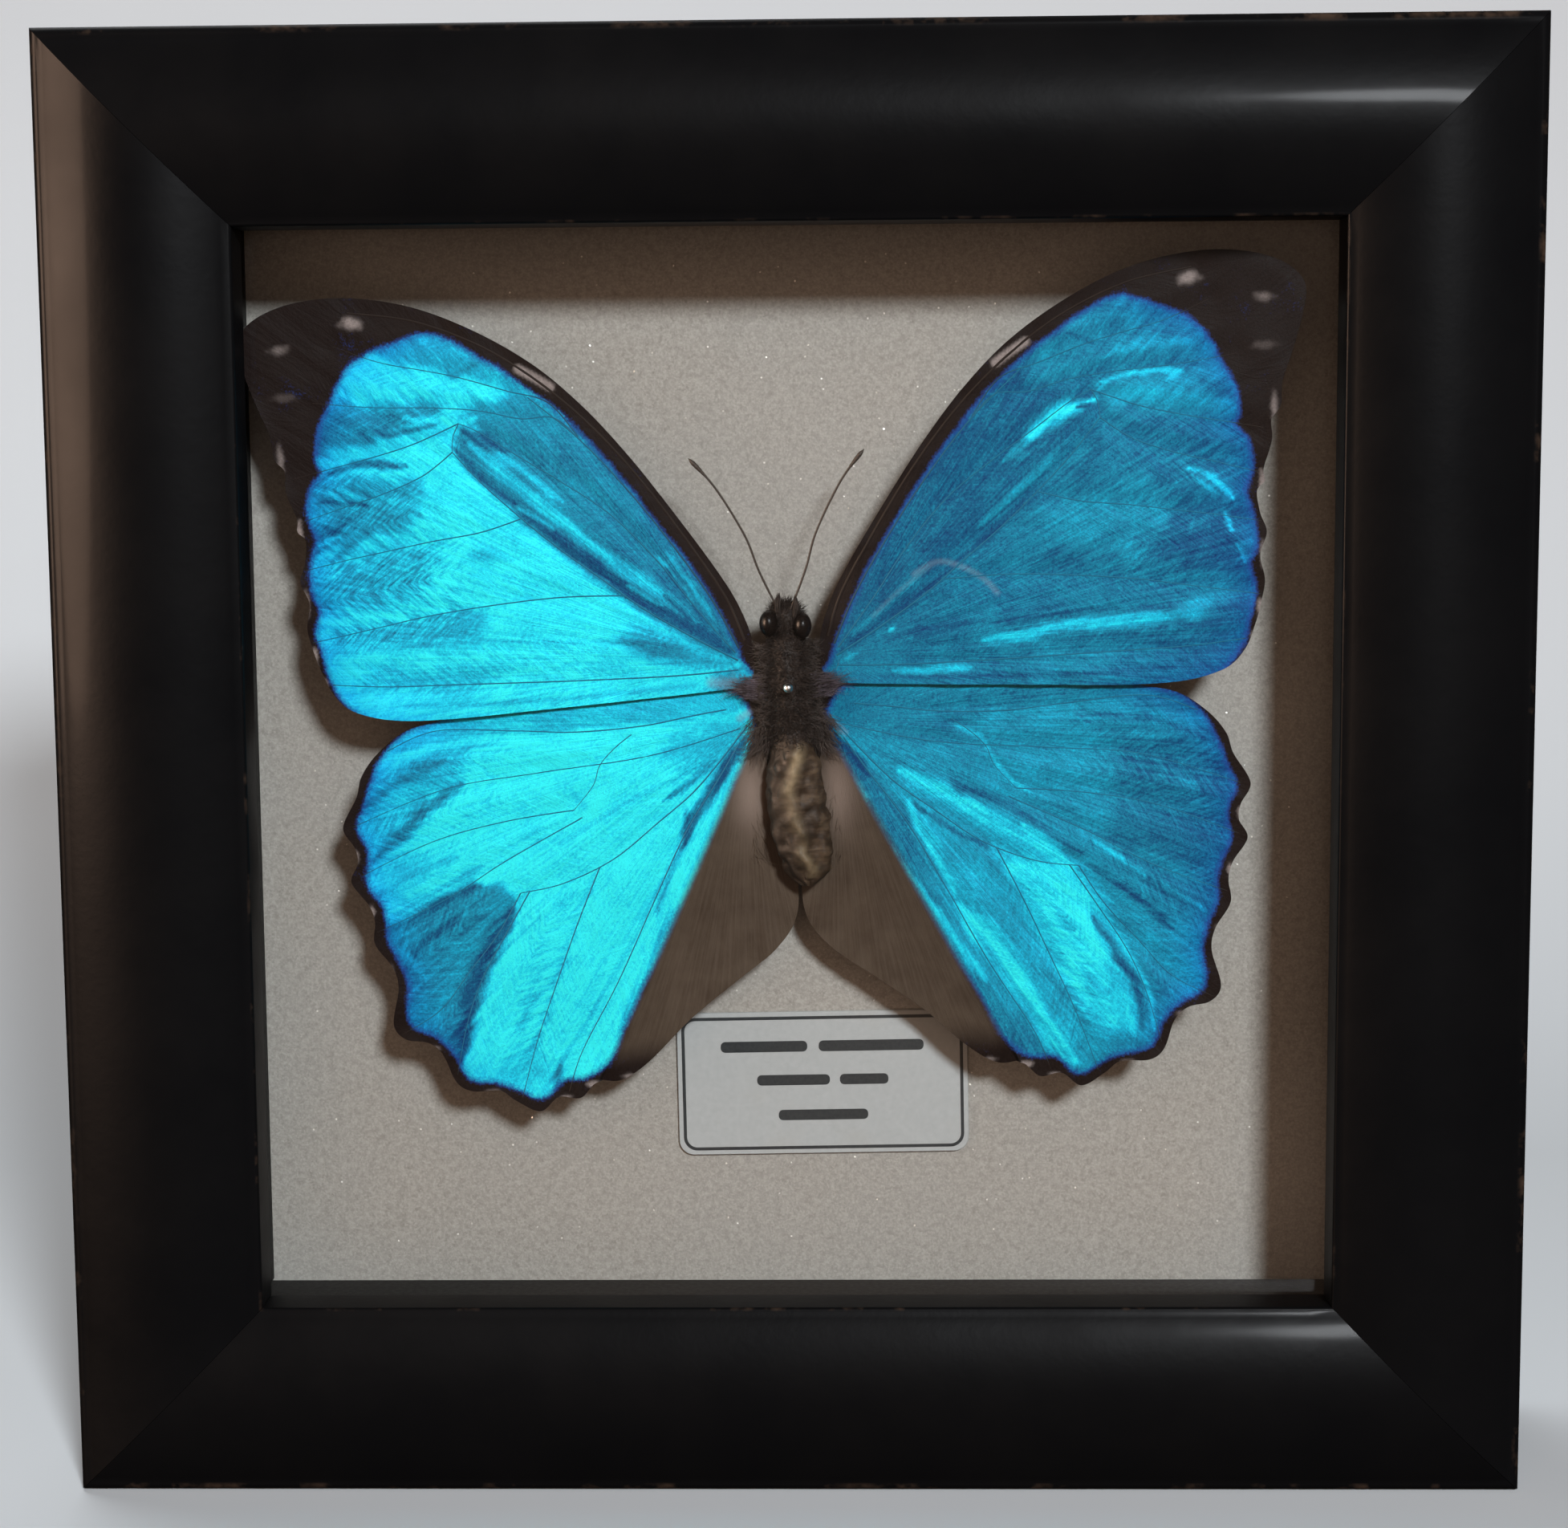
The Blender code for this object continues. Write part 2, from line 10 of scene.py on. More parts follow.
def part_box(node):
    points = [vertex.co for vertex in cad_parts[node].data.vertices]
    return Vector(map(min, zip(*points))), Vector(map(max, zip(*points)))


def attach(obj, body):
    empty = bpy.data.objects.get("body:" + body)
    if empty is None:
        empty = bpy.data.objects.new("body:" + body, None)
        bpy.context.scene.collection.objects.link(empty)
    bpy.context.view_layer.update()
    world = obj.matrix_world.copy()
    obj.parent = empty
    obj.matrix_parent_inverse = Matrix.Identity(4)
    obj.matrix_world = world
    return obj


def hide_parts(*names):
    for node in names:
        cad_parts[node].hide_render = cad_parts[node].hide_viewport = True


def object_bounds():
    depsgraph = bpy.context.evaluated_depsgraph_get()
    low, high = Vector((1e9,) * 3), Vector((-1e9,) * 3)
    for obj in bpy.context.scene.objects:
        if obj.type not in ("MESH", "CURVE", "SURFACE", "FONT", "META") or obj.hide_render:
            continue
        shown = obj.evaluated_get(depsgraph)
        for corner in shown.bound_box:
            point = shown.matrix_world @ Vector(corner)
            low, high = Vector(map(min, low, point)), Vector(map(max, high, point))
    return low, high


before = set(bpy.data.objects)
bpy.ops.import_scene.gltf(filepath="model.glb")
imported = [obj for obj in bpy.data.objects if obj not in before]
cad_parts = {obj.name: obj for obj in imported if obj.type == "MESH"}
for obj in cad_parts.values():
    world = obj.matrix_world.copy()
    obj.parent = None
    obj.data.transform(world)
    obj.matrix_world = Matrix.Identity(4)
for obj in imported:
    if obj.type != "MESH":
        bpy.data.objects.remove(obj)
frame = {"nodes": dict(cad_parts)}
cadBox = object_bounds()
millimetre = 0.001

# places that everything else is measured from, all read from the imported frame
railLow = Vector(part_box("frame_rail_bottom")[0])
boardLow, boardHigh = (Vector(corner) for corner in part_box("mount_board"))
pinLow, pinHigh = (Vector(corner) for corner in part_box("insect_pin"))
labelLow, labelHigh = (Vector(corner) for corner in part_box("label"))
frameSide = cadBox[1][2] - cadBox[0][2]
frameMiddle = frameSide / 2
crestRise = 3.0 * millimetre
sightPlane = railLow.y + crestRise          # y of the sight edge's front
pinPlace = ((pinLow.x + pinHigh.x) / 2, (pinLow.z + pinHigh.z) / 2)


def rgb(r, g, b):
    return (r, g, b, 1.0)


def plug(mat, socket, value):
    if isinstance(value, bpy.types.NodeSocket):
        mat.node_tree.links.new(value, socket)
    else:
        socket.default_value = value


def addNode(mat, kind, inputs=None, **props):
    made = mat.node_tree.nodes.new(kind)
    for key, value in props.items():
        setattr(made, key, value)
    for key, value in (inputs or {}).items():
        plug(mat, made.inputs[key], value)
    return made


def newMaterial(name, **fixed):
    # fixed holds plain values for the shader's own sockets
    mat = bpy.data.materials.new(name)
    mat.use_nodes = True
    shader = mat.node_tree.nodes["Principled BSDF"]
    for key, value in fixed.items():
        shader.inputs[key.replace("_", " ")].default_value = value
    return mat, shader.inputs


def objectCoords(mat):
    return addNode(mat, "ShaderNodeTexCoord").outputs["Object"]


def stretched(mat, vector, scale, turn=(0, 0, 0)):
    return addNode(mat, "ShaderNodeMapping", {"Vector": vector, "Scale": scale, "Rotation": turn}).outputs[0]


def noise(mat, vector, scale, detail=3.0, rough=0.5):
    made = addNode(mat, "ShaderNodeTexNoise",
                   {"Vector": vector, "Scale": scale, "Detail": detail, "Roughness": rough})
    return made.outputs["Fac"]


def calc(mat, operation, first, second=0.5, clamp=False):
    made = addNode(mat, "ShaderNodeMath", operation=operation, use_clamp=clamp)
    plug(mat, made.inputs[0], first)
    plug(mat, made.inputs[1], second)
    return made.outputs[0]


def remap(mat, value, fromLow, fromHigh, toLow=0.0, toHigh=1.0):
    made = addNode(mat, "ShaderNodeMapRange", {"Value": value, "From Min": fromLow, "From Max": fromHigh,
                                               "To Min": toLow, "To Max": toHigh})
    return made.outputs[0]


def mixed(mat, factor, first, second, blend="MIX"):
    made = addNode(mat, "ShaderNodeMix", data_type="RGBA", blend_type=blend)
    plug(mat, made.inputs[0], factor)
    plug(mat, made.inputs[6], first)
    plug(mat, made.inputs[7], second)
    return made.outputs[2]


def ramp(mat, factor, stops):
    made = addNode(mat, "ShaderNodeValToRGB", {"Fac": factor})
    elements = made.color_ramp.elements
    while len(elements) < len(stops):
        elements.new(0.5)
    for element, (place, colour) in zip(elements, stops):
        element.position = place
        element.color = colour
    return made.outputs["Color"]


def bumped(mat, height, strength, distance):
    return addNode(mat, "ShaderNodeBump", {"Height": height, "Strength": strength, "Distance": distance}).outputs[0]


def swung(mat, value, amount):
    # a noise value swung about its middle
    return calc(mat, "MULTIPLY", calc(mat, "SUBTRACT", value, 0.5), amount)


def attribute(mat, name):
    return addNode(mat, "ShaderNodeAttribute", attribute_name=name).outputs["Fac"]


def uvOf(mat, name):
    return addNode(mat, "ShaderNodeUVMap", uv_map=name).outputs[0]


def addObject(name, data):
    made = bpy.data.objects.new(name, data)
    bpy.context.scene.collection.objects.link(made)
    return made


def makePiece(name, points, faces, mats, faceMats=None, smoothAngle=None):
    mesh = bpy.data.meshes.new(name)
    mesh.from_pydata([tuple(point) for point in points], [], [tuple(face) for face in faces])
    for mat in mats:
        mesh.materials.append(mat)
    if faceMats is not None:
        mesh.polygons.foreach_set("material_index", faceMats)
    if smoothAngle is not None:
        mesh.shade_smooth()
        mesh.set_sharp_from_angle(angle=math.radians(smoothAngle))
    mesh.update()
    return addObject(name, mesh)


def setAttribute(piece, name, values):
    layer = piece.data.attributes.new(name, "FLOAT", "POINT")
    layer.data.foreach_set("value", np.asarray(values, dtype=np.float32))


def setUv(piece, name, perPoint):
    loops = np.empty(len(piece.data.loops), dtype=np.int32)
    piece.data.loops.foreach_get("vertex_index", loops)
    layer = piece.data.uv_layers.new(name=name)
    layer.data.foreach_set("uv", np.asarray(perPoint, dtype=np.float32)[loops].ravel())


def settle(piece, slotName, *nodes):
    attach(piece, "root")
    if nodes:
        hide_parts(*nodes)


def sweep(rings):
    # quads between equal rings of points, and a flat face at each end
    count = len(rings[0])
    points = [point for ring in rings for point in ring]
    faces = []
    for row in range(len(rings) - 1):
        for i in range(count):
            j = (i + 1) % count
            base = row * count
            faces.append((base + i, base + j, base + count + j, base + count + i))
    faces.append(tuple(range(count))[::-1])
    faces.append(tuple(range((len(rings) - 1) * count, len(rings) * count)))
    return points, faces


def facesOutward(piece):
    bm = bmesh.new()
    bm.from_mesh(piece.data)
    bmesh.ops.recalc_face_normals(bm, faces=bm.faces)
    bm.to_mesh(piece.data)
    bm.free()


def smoothPath(points, steps, closed=False):
    # points on a Catmull-Rom curve through the given ones
    pts = np.asarray(points, dtype=float)
    count = len(pts)
    made = []
    for i in range(count if closed else count - 1):
        if closed:
            p0, p1, p2, p3 = (pts[(i + k) % count] for k in (-1, 0, 1, 2))
        else:
            p0, p1, p2, p3 = pts[max(i - 1, 0)], pts[i], pts[i + 1], pts[min(i + 2, count - 1)]
        for k in range(steps):
            t = k / steps
            made.append(0.5 * (2 * p1 + (p2 - p0) * t + (2 * p0 - 5 * p1 + 4 * p2 - p3) * t ** 2
                               + (3 * p1 - p0 - 3 * p2 + p3) * t ** 3))
    if not closed:
        made.append(pts[-1])
    return np.array(made)


def pathDistance(spots, path):
    # distance from each spot to a path, and which side of it the spot is on (left is positive)
    path = np.asarray(path, dtype=float)
    best = np.full(len(spots), 1e9)
    side = np.zeros(len(spots))
    for start, end in zip(path[:-1], path[1:]):
        along = end - start
        offset = spots - start
        t = np.clip((offset @ along) / (along @ along), 0, 1)
        gap = offset - t[:, None] * along
        far = np.hypot(gap[:, 0], gap[:, 1])
        nearer = far < best
        best = np.where(nearer, far, best)
        side = np.where(nearer, np.sign(along[0] * offset[:, 1] - along[1] * offset[:, 0]), side)
    return best, side


def insideDistance(spots, loop):
    # signed distance to a closed outline, positive inside
    loop = np.asarray(loop, dtype=float)
    closed = np.vstack([loop, loop[:1]])
    far, _ = pathDistance(spots, closed)
    inside = np.zeros(len(spots), dtype=bool)
    for (x0, z0), (x1, z1) in zip(closed[:-1], closed[1:]):
        crosses = (z0 > spots[:, 1]) != (z1 > spots[:, 1])
        rise = z1 - z0 if z1 != z0 else 1e-12
        inside ^= crosses & (spots[:, 0] < x0 + (spots[:, 1] - z0) * (x1 - x0) / rise)
    return np.where(inside, far, -far)


def softStep(value, low, high):
    t = np.clip((value - low) / (high - low), 0, 1)
    return t * t * (3 - 2 * t)


def newTree(name, inputs):
    tree = bpy.data.node_groups.new(name, "GeometryNodeTree")
    tree.interface.new_socket("Geometry", in_out="INPUT", socket_type="NodeSocketGeometry")
    for label, kind, value in inputs:
        tree.interface.new_socket(label, in_out="INPUT", socket_type="NodeSocket" + kind).default_value = value
    tree.interface.new_socket("Geometry", in_out="OUTPUT", socket_type="NodeSocketGeometry")
    return tree, tree.nodes.new("NodeGroupInput").outputs, tree.nodes.new("NodeGroupOutput").inputs


def treeNode(tree, kind, inputs=None, **props):
    made = tree.nodes.new(kind)
    for key, value in props.items():
        setattr(made, key, value)
    for key, value in (inputs or {}).items():
        socket = made.inputs[key]
        if isinstance(value, bpy.types.NodeSocket):
            tree.links.new(value, socket)
        else:
            socket.default_value = value
    return made


def grow(source, tree, values, name):
    # runs a tree on the source object and returns the result as a plain mesh piece
    modifier = source.modifiers.new("grow", "NODES")
    modifier.node_group = tree
    for item in tree.interface.items_tree:
        if item.in_out == "INPUT" and item.name in values:
            modifier[item.identifier] = values[item.name]
    graph = bpy.context.evaluated_depsgraph_get()
    mesh = bpy.data.meshes.new_from_object(source.evaluated_get(graph))
    source.modifiers.remove(modifier)
    mesh.name = name
    return addObject(name, mesh)


def finishTree(tree, geometry, mat, output):
    real = treeNode(tree, "GeometryNodeRealizeInstances", {"Geometry": geometry})
    painted = treeNode(tree, "GeometryNodeSetMaterial", {"Geometry": real.outputs[0], "Material": mat})
    tree.links.new(painted.outputs[0], output)


def scatterTree(name, shape, mat):
    # instances of a small shape on faces; shape is built by a function that gets the tree
    tree, given, result = newTree(name, [
        ("Density", "Float", 1000.0), ("Seed", "Int", 1), ("Width", "Float", 0.0001),
        ("Length", "Float", 0.001), ("Length Spread", "Float", 0.3), ("Tilt", "Float", 0.4)])
    spread = treeNode(tree, "GeometryNodeDistributePointsOnFaces",
                      {"Mesh": given["Geometry"], "Density": given["Density"], "Seed": given["Seed"]})
    weight = treeNode(tree, "GeometryNodeInputNamedAttribute", {"Name": "fur"}, data_type="FLOAT")
    chance = treeNode(tree, "FunctionNodeRandomValue", {"Seed": 77}, data_type="FLOAT")
    keep = treeNode(tree, "ShaderNodeMath", operation="GREATER_THAN")
    tree.links.new(weight.outputs["Attribute"], keep.inputs[0])
    tree.links.new(chance.outputs[1], keep.inputs[1])
    lean = treeNode(tree, "FunctionNodeRandomValue", {"Seed": 5}, data_type="FLOAT_VECTOR")
    tilt = treeNode(tree, "ShaderNodeVectorMath", {0: lean.outputs[0]}, operation="SUBTRACT")
    tilt.inputs[1].default_value = (0.5, 0.5, 0.5)
    tiltScaled = treeNode(tree, "ShaderNodeVectorMath", {0: tilt.outputs[0], "Scale": given["Tilt"]},
                          operation="SCALE")
    turn = treeNode(tree, "FunctionNodeRotateRotation",
                    {"Rotation": spread.outputs["Rotation"]}, rotation_space="LOCAL")
    euler = treeNode(tree, "FunctionNodeEulerToRotation", {0: tiltScaled.outputs[0]})
    tree.links.new(euler.outputs[0], turn.inputs["Rotate By"])
    vary = treeNode(tree, "FunctionNodeRandomValue", {"Seed": 9}, data_type="FLOAT")
    low = treeNode(tree, "ShaderNodeMath", {0: 1.0, 1: given["Length Spread"]}, operation="SUBTRACT")
    high = treeNode(tree, "ShaderNodeMath", {0: 1.0, 1: given["Length Spread"]}, operation="ADD")
    tree.links.new(low.outputs[0], vary.inputs[2])
    tree.links.new(high.outputs[0], vary.inputs[3])
    length = treeNode(tree, "ShaderNodeMath", {0: vary.outputs[1], 1: given["Length"]}, operation="MULTIPLY")
    size = treeNode(tree, "ShaderNodeCombineXYZ",
                    {"X": given["Width"], "Y": given["Width"], "Z": length.outputs[0]})
    placed = treeNode(tree, "GeometryNodeInstanceOnPoints", {
        "Points": spread.outputs["Points"], "Selection": keep.outputs[0], "Instance": shape(tree),
        "Rotation": turn.outputs[0], "Scale": size.outputs[0]})
    finishTree(tree, placed.outputs[0], mat, result["Geometry"])
    return tree


def hairShape(tree):
    cone = treeNode(tree, "GeometryNodeMeshCone", {"Vertices": 3, "Radius Top": 0.0, "Radius Bottom": 1.0,
                                                   "Depth": 1.0}, fill_type="NONE")
    return cone.outputs["Mesh"]


def flakeShape(tree):
    disc = treeNode(tree, "GeometryNodeMeshCircle", {"Vertices": 5, "Radius": 1.0}, fill_type="TRIANGLE_FAN")
    return disc.outputs["Mesh"]


print("helpers ready")


viewSettings = {
    "place": (6.2, -318.0, 35.7),       # from the middle of the sight plane, millimetres
    "yaw": -1.26, "pitch": -6.13, "roll": -0.44,
    "lens": 60.5,
}


def makeCamera(settings):
    data = bpy.data.cameras.new("camera")
    data.lens = settings["lens"]
    data.sensor_width = 36.0
    data.clip_start = 0.01
    camera = addObject("camera", data)
    x, y, z = (value * millimetre for value in settings["place"])
    camera.location = (x, sightPlane + y, frameMiddle + z)
    camera.rotation_mode = "QUATERNION"
    yaw, pitch, roll = (math.radians(settings[key]) for key in ("yaw", "pitch", "roll"))
    forward = Vector((math.sin(yaw) * math.cos(pitch), math.cos(yaw) * math.cos(pitch), math.sin(pitch)))
    level = Vector((math.cos(yaw), -math.sin(yaw), 0))
    above = level.cross(forward)
    right = math.cos(roll) * level + math.sin(roll) * above
    up = -math.sin(roll) * level + math.cos(roll) * above
    turn = [[right[i], up[i], -forward[i]] for i in range(3)]
    camera.rotation_quaternion = Matrix(turn).to_quaternion()
    bpy.context.scene.camera = camera


# the key is soft and from the upper right; leftSheen only glints on polish, frontFill only lights,
# and backFill keeps the back of the box readable; distances and sizes in metres
lightSettings = {
    "key": {"toward": (0.304, -1.0, 0.437), "distance": 1.2, "size": 0.16, "watts": 13.9,
            "colour": (0.93, 0.965, 1.0)},
    "leftSheen": {"toward": (-1.0, -0.50, 0.20), "distance": 0.9, "size": 0.45, "watts": 20.0,
                  "colour": (1.0, 0.66, 0.48), "lighting": False},
    "frontFill": {"toward": (0.0, -1.0, 0.15), "distance": 1.5, "size": 2.0, "watts": 7.6,
                  "colour": (1.0, 0.64, 0.46), "mirrored": False},
    "backFill": {"toward": (-0.35, 0.45, 1.0), "distance": 0.75, "size": 0.5, "watts": 2.4,
                 "colour": (0.95, 0.98, 1.0)},
    "world": (0.042, 0.034, 0.028), "sky": (0.50, 0.52, 0.54),
}


def addLight(name, toward, distance, size, watts, colour, mirrored=True, lighting=True):
    data = bpy.data.lights.new(name, "AREA")
    data.shape = "DISK"
    data.size = size
    data.energy = watts
    data.color = colour
    lamp = addObject(name, data)
    away = Vector(toward).normalized()
    lamp.location = Vector((0, sightPlane, frameMiddle)) + away * distance
    lamp.rotation_mode = "QUATERNION"
    lamp.rotation_quaternion = away.to_track_quat("Z", "Y")
    lamp.visible_glossy = mirrored
    lamp.visible_diffuse = lighting


def makeLights(settings):
    bpy.context.scene.view_settings.view_transform = "Standard"
    for name in ("key", "leftSheen", "frontFill", "backFill"):
        addLight(name, **settings[name])
    world = bpy.data.worlds.new("studio")
    bpy.context.scene.world = world
    world.use_nodes = True
    tree = world.node_tree
    # the room is dim, but looks pale where it is seen past the object
    dim = tree.nodes["Background"]
    dim.inputs["Color"].default_value = rgb(*settings["world"])
    pale = tree.nodes.new("ShaderNodeBackground")
    pale.inputs["Color"].default_value = rgb(*settings["sky"])
    seen = tree.nodes.new("ShaderNodeLightPath")
    blend = tree.nodes.new("ShaderNodeMixShader")
    tree.links.new(seen.outputs["Is Camera Ray"], blend.inputs[0])
    tree.links.new(dim.outputs[0], blend.inputs[1])
    tree.links.new(pale.outputs[0], blend.inputs[2])
    tree.links.new(blend.outputs[0], tree.nodes["World Output"].inputs["Surface"])


floorSettings = {"halfWidth": 1.6, "front": -1.4, "back": 0.45, "radius": 0.3, "top": 1.8, "bendSteps": 12,
                 "drop": 0.0002}


def makeFloor(settings):
    # pale floor that curves up behind the box, in one sweep
    mat, shader = newMaterial("paleFloor", Roughness=0.9, Specular_IOR_Level=0.02)
    where = objectCoords(mat)
    plug(mat, shader["Base Color"], mixed(mat, noise(mat, where, 6.0), rgb(0.72, 0.76, 0.79),
                                          rgb(0.78, 0.82, 0.85)))
    back, radius, steps = settings["back"], settings["radius"], settings["bendSteps"]
    section = [(settings["front"], 0.0)]
    for i in range(steps + 1):
        angle = math.radians(90 * i / steps)
        section.append((back - radius + radius * math.sin(angle), radius - radius * math.cos(angle)))
    section.append((back, settings["top"]))
    points = [(x, y, z - settings["drop"]) for x in (-settings["halfWidth"], settings["halfWidth"])
              for y, z in section]
    count = len(section)
    faces = [(i, count + i, count + i + 1, i + 1) for i in range(count - 1)]
    floor = makePiece("floor", points, faces, [mat], smoothAngle=40)
    floor.visible_glossy = False
    floor.visible_diffuse = False


makeCamera(viewSettings)
makeLights(lightSettings)
makeFloor(floorSettings)
print("camera, lights and floor ready")


moulding = {
    "face": 23.6, "lip": 5.7, "overlap": 6.5, "crest": 3.0, "depth": 35.0,
    "edgeRound": 1.2, "arrisRound": 0.45, "backRound": 0.4, "crownSteps": 30, "crownFullness": 0.85,
    "mitreGap": 0.03, "chamfer": 0.3, "rows": 40, "grainShift": 0.31,
}


def lacquerMaterial():
    mat, shader = newMaterial("blackLacquer", Specular_IOR_Level=0.036, Coat_Weight=0.02, Coat_Roughness=0.12)
    where = objectCoords(mat)
    cloud = noise(mat, where, 55.0, 4.0, 0.6)
    grain = noise(mat, where, 900.0, 2.0, 0.6)
    worn = calc(mat, "MULTIPLY", attribute(mat, "arris"), remap(mat, noise(mat, where, 160.0, 4.0, 0.7), 0.55, 0.7))
    speck = addNode(mat, "ShaderNodeTexVoronoi", {"Vector": where, "Scale": 170.0})
    picked = calc(mat, "GREATER_THAN", speck.outputs["Color"], 0.955)
    dot = calc(mat, "LESS_THAN", speck.outputs["Distance"], 0.035)
    dust = calc(mat, "MULTIPLY", picked, dot)
    base = mixed(mat, cloud, rgb(0.0030, 0.0032, 0.0038), rgb(0.0052, 0.0050, 0.0052))
    base = mixed(mat, worn, base, rgb(0.05, 0.032, 0.022))
    base = mixed(mat, dust, base, rgb(0.30, 0.28, 0.25))
    plug(mat, shader["Base Color"], base)
    rough = calc(mat, "ADD", remap(mat, cloud, 0.3, 0.7, 0.34, 0.46), calc(mat, "MULTIPLY", worn, 0.25))
    plug(mat, shader["Roughness"], rough)
    height = calc(mat, "ADD", grain, calc(mat, "MULTIPLY", noise(mat, where, 260.0, 3.0), 1.5))
    plug(mat, shader["Normal"], bumped(mat, height, 0.25, 0.00006))
    return mat


def rawWoodMaterial():
    mat, shader = newMaterial("rawWood", Specular_IOR_Level=0.3)
    along = uvOf(mat, "run")
    fibre = noise(mat, stretched(mat, along, (25.0, 900.0, 1.0)), 1.0, 5.0, 0.65)
    band = noise(mat, stretched(mat, along, (6.0, 120.0, 1.0)), 1.0, 2.0)
    colour = ramp(mat, fibre, [(0.25, rgb(0.22, 0.13, 0.065)), (0.55, rgb(0.36, 0.235, 0.125)),
                               (0.8, rgb(0.46, 0.32, 0.18))])
    plug(mat, shader["Base Color"], mixed(mat, remap(mat, band, 0.3, 0.7, 0.0, 0.6), colour,
                                          rgb(0.25, 0.155, 0.08)))
    plug(mat, shader["Roughness"], remap(mat, fibre, 0.2, 0.8, 0.8, 0.6))
    plug(mat, shader["Normal"], bumped(mat, fibre, 0.4, 0.0002))
    return mat


def mouldingSection(s):
    # (distance from the outer edge, depth, 1 on an arris, 1 where the wood is bare)
    rows = []
    for i in range(4):
        angle = math.radians(90 * i / 3)
        rows.append((s["backRound"] * (1 - math.sin(angle)),
                     s["depth"] - s["backRound"] * (1 - math.cos(angle)), 0.6 * math.sin(2 * angle), 0))
    for i in range(9):
        angle = math.radians(90 * i / 8)
        rows.append((s["edgeRound"] * (1 - math.cos(angle)), s["edgeRound"] * (1 - math.sin(angle)),
                     math.sin(2 * angle), 0))
    crown = s["face"] - s["edgeRound"] - s["arrisRound"]
    for i in range(1, s["crownSteps"] + 1):
        t = i / s["crownSteps"]
        rise = s["crest"] * max(0.0, math.sin(math.pi * t)) ** s["crownFullness"]
        rows.append((s["edgeRound"] + crown * t, -rise, 0, 0))
    for i in range(1, 7):
        angle = math.radians(90 * i / 6)
        rows.append((s["face"] - s["arrisRound"] * (1 - math.sin(angle)),
                     s["arrisRound"] * (1 - math.cos(angle)), 0.8 * math.sin(2 * angle), 0))
    rabbet = s["face"] - s["overlap"]
    cut = s["chamfer"]
    rows += [(s["face"], s["lip"] - cut, 0, 0), (s["face"] - cut, s["lip"], 0, 0),
             (rabbet, s["lip"], 0, 1), (rabbet, s["depth"] - cut, 0, 1), (rabbet - cut, s["depth"], 0, 1)]
    return rows


def makeRail(side, quarter, lacquer, wood):
    section = mouldingSection(moulding)
    rows = moulding["rows"]
    angle = math.radians(90 * quarter)
    rings, uvs, arris = [], [], []
    for row in range(rows + 1):
        t = 2 * row / rows - 1
        ring = []
        run = 0.0
        for i, (width, depth, onArris, _) in enumerate(section):
            if i:
                run += math.dist((width, depth), section[i - 1][:2])
            half = frameSide / 2 - (width + moulding["mitreGap"]) * millimetre
            x, z = t * half, width * millimetre - frameMiddle
            ring.append((x * math.cos(angle) - z * math.sin(angle), sightPlane + depth * millimetre,
                         frameMiddle + x * math.sin(angle) + z * math.cos(angle)))
            uvs.append((x + quarter * moulding["grainShift"], run * millimetre))
            arris.append(onArris)
        rings.append(ring)
    points, faces = sweep(rings)
    bareStrips = [bool(section[i][3] and section[(i + 1) % len(section)][3]) or i == len(section) - 1
                  for i in range(len(section))]
    faceMats = [int(bareStrips[i]) for _ in range(rows) for i in range(len(section))] + [0, 0]
    rail = makePiece("moulding_" + side, points, faces, [lacquer, wood], faceMats, 32)
    facesOutward(rail)
    setAttribute(rail, "arris", arris)
    setUv(rail, "run", uvs)
    settle(rail, "black_lacquer", "frame_rail_" + side)


def makeMoulding():
    lacquer, wood = lacquerMaterial(), rawWoodMaterial()
    for quarter, side in enumerate(("bottom", "right", "top", "left")):
        makeRail(side, quarter, lacquer, wood)


makeMoulding()
print("moulding ready")


def glassMaterial():
    mat, shader = newMaterial("clearGlass", Transmission_Weight=1.0, IOR=1.5)
    where = objectCoords(mat)
    smear = noise(mat, stretched(mat, where, (18.0, 18.0, 30.0), (0, 0.6, 0)), 1.0, 4.0, 0.6)
    shader["Base Color"].default_value = rgb(0.965, 0.985, 0.975)
    plug(mat, shader["Roughness"], remap(mat, smear, 0.55, 0.8, 0.0, 0.035))
    return mat


def greyCardMaterial():
    mat, shader = newMaterial("greyCard", Specular_IOR_Level=0.35)
    where = objectCoords(mat)
    fine = noise(mat, where, 3200.0, 2.0, 0.7)
    mottle = noise(mat, where, 1000.0, 4.0, 0.7)
    broad = noise(mat, where, 28.0, 3.0)
    base = mixed(mat, remap(mat, mottle, 0.3, 0.7), rgb(0.255, 0.240, 0.215), rgb(0.395, 0.378, 0.345))
    base = mixed(mat, remap(mat, broad, 0.35, 0.65, 0.0, 0.35), base, rgb(0.33, 0.335, 0.325))
    base = mixed(mat, remap(mat, fine, 0.42, 0.70, 0.0, 0.75), base, rgb(0.46, 0.445, 0.41))
    plug(mat, shader["Base Color"], base)
    plug(mat, shader["Roughness"], remap(mat, mottle, 0.2, 0.8, 0.85, 0.6))
    plug(mat, shader["Normal"], bumped(mat, calc(mat, "ADD", fine, mottle), 0.5, 0.00008))
    return mat


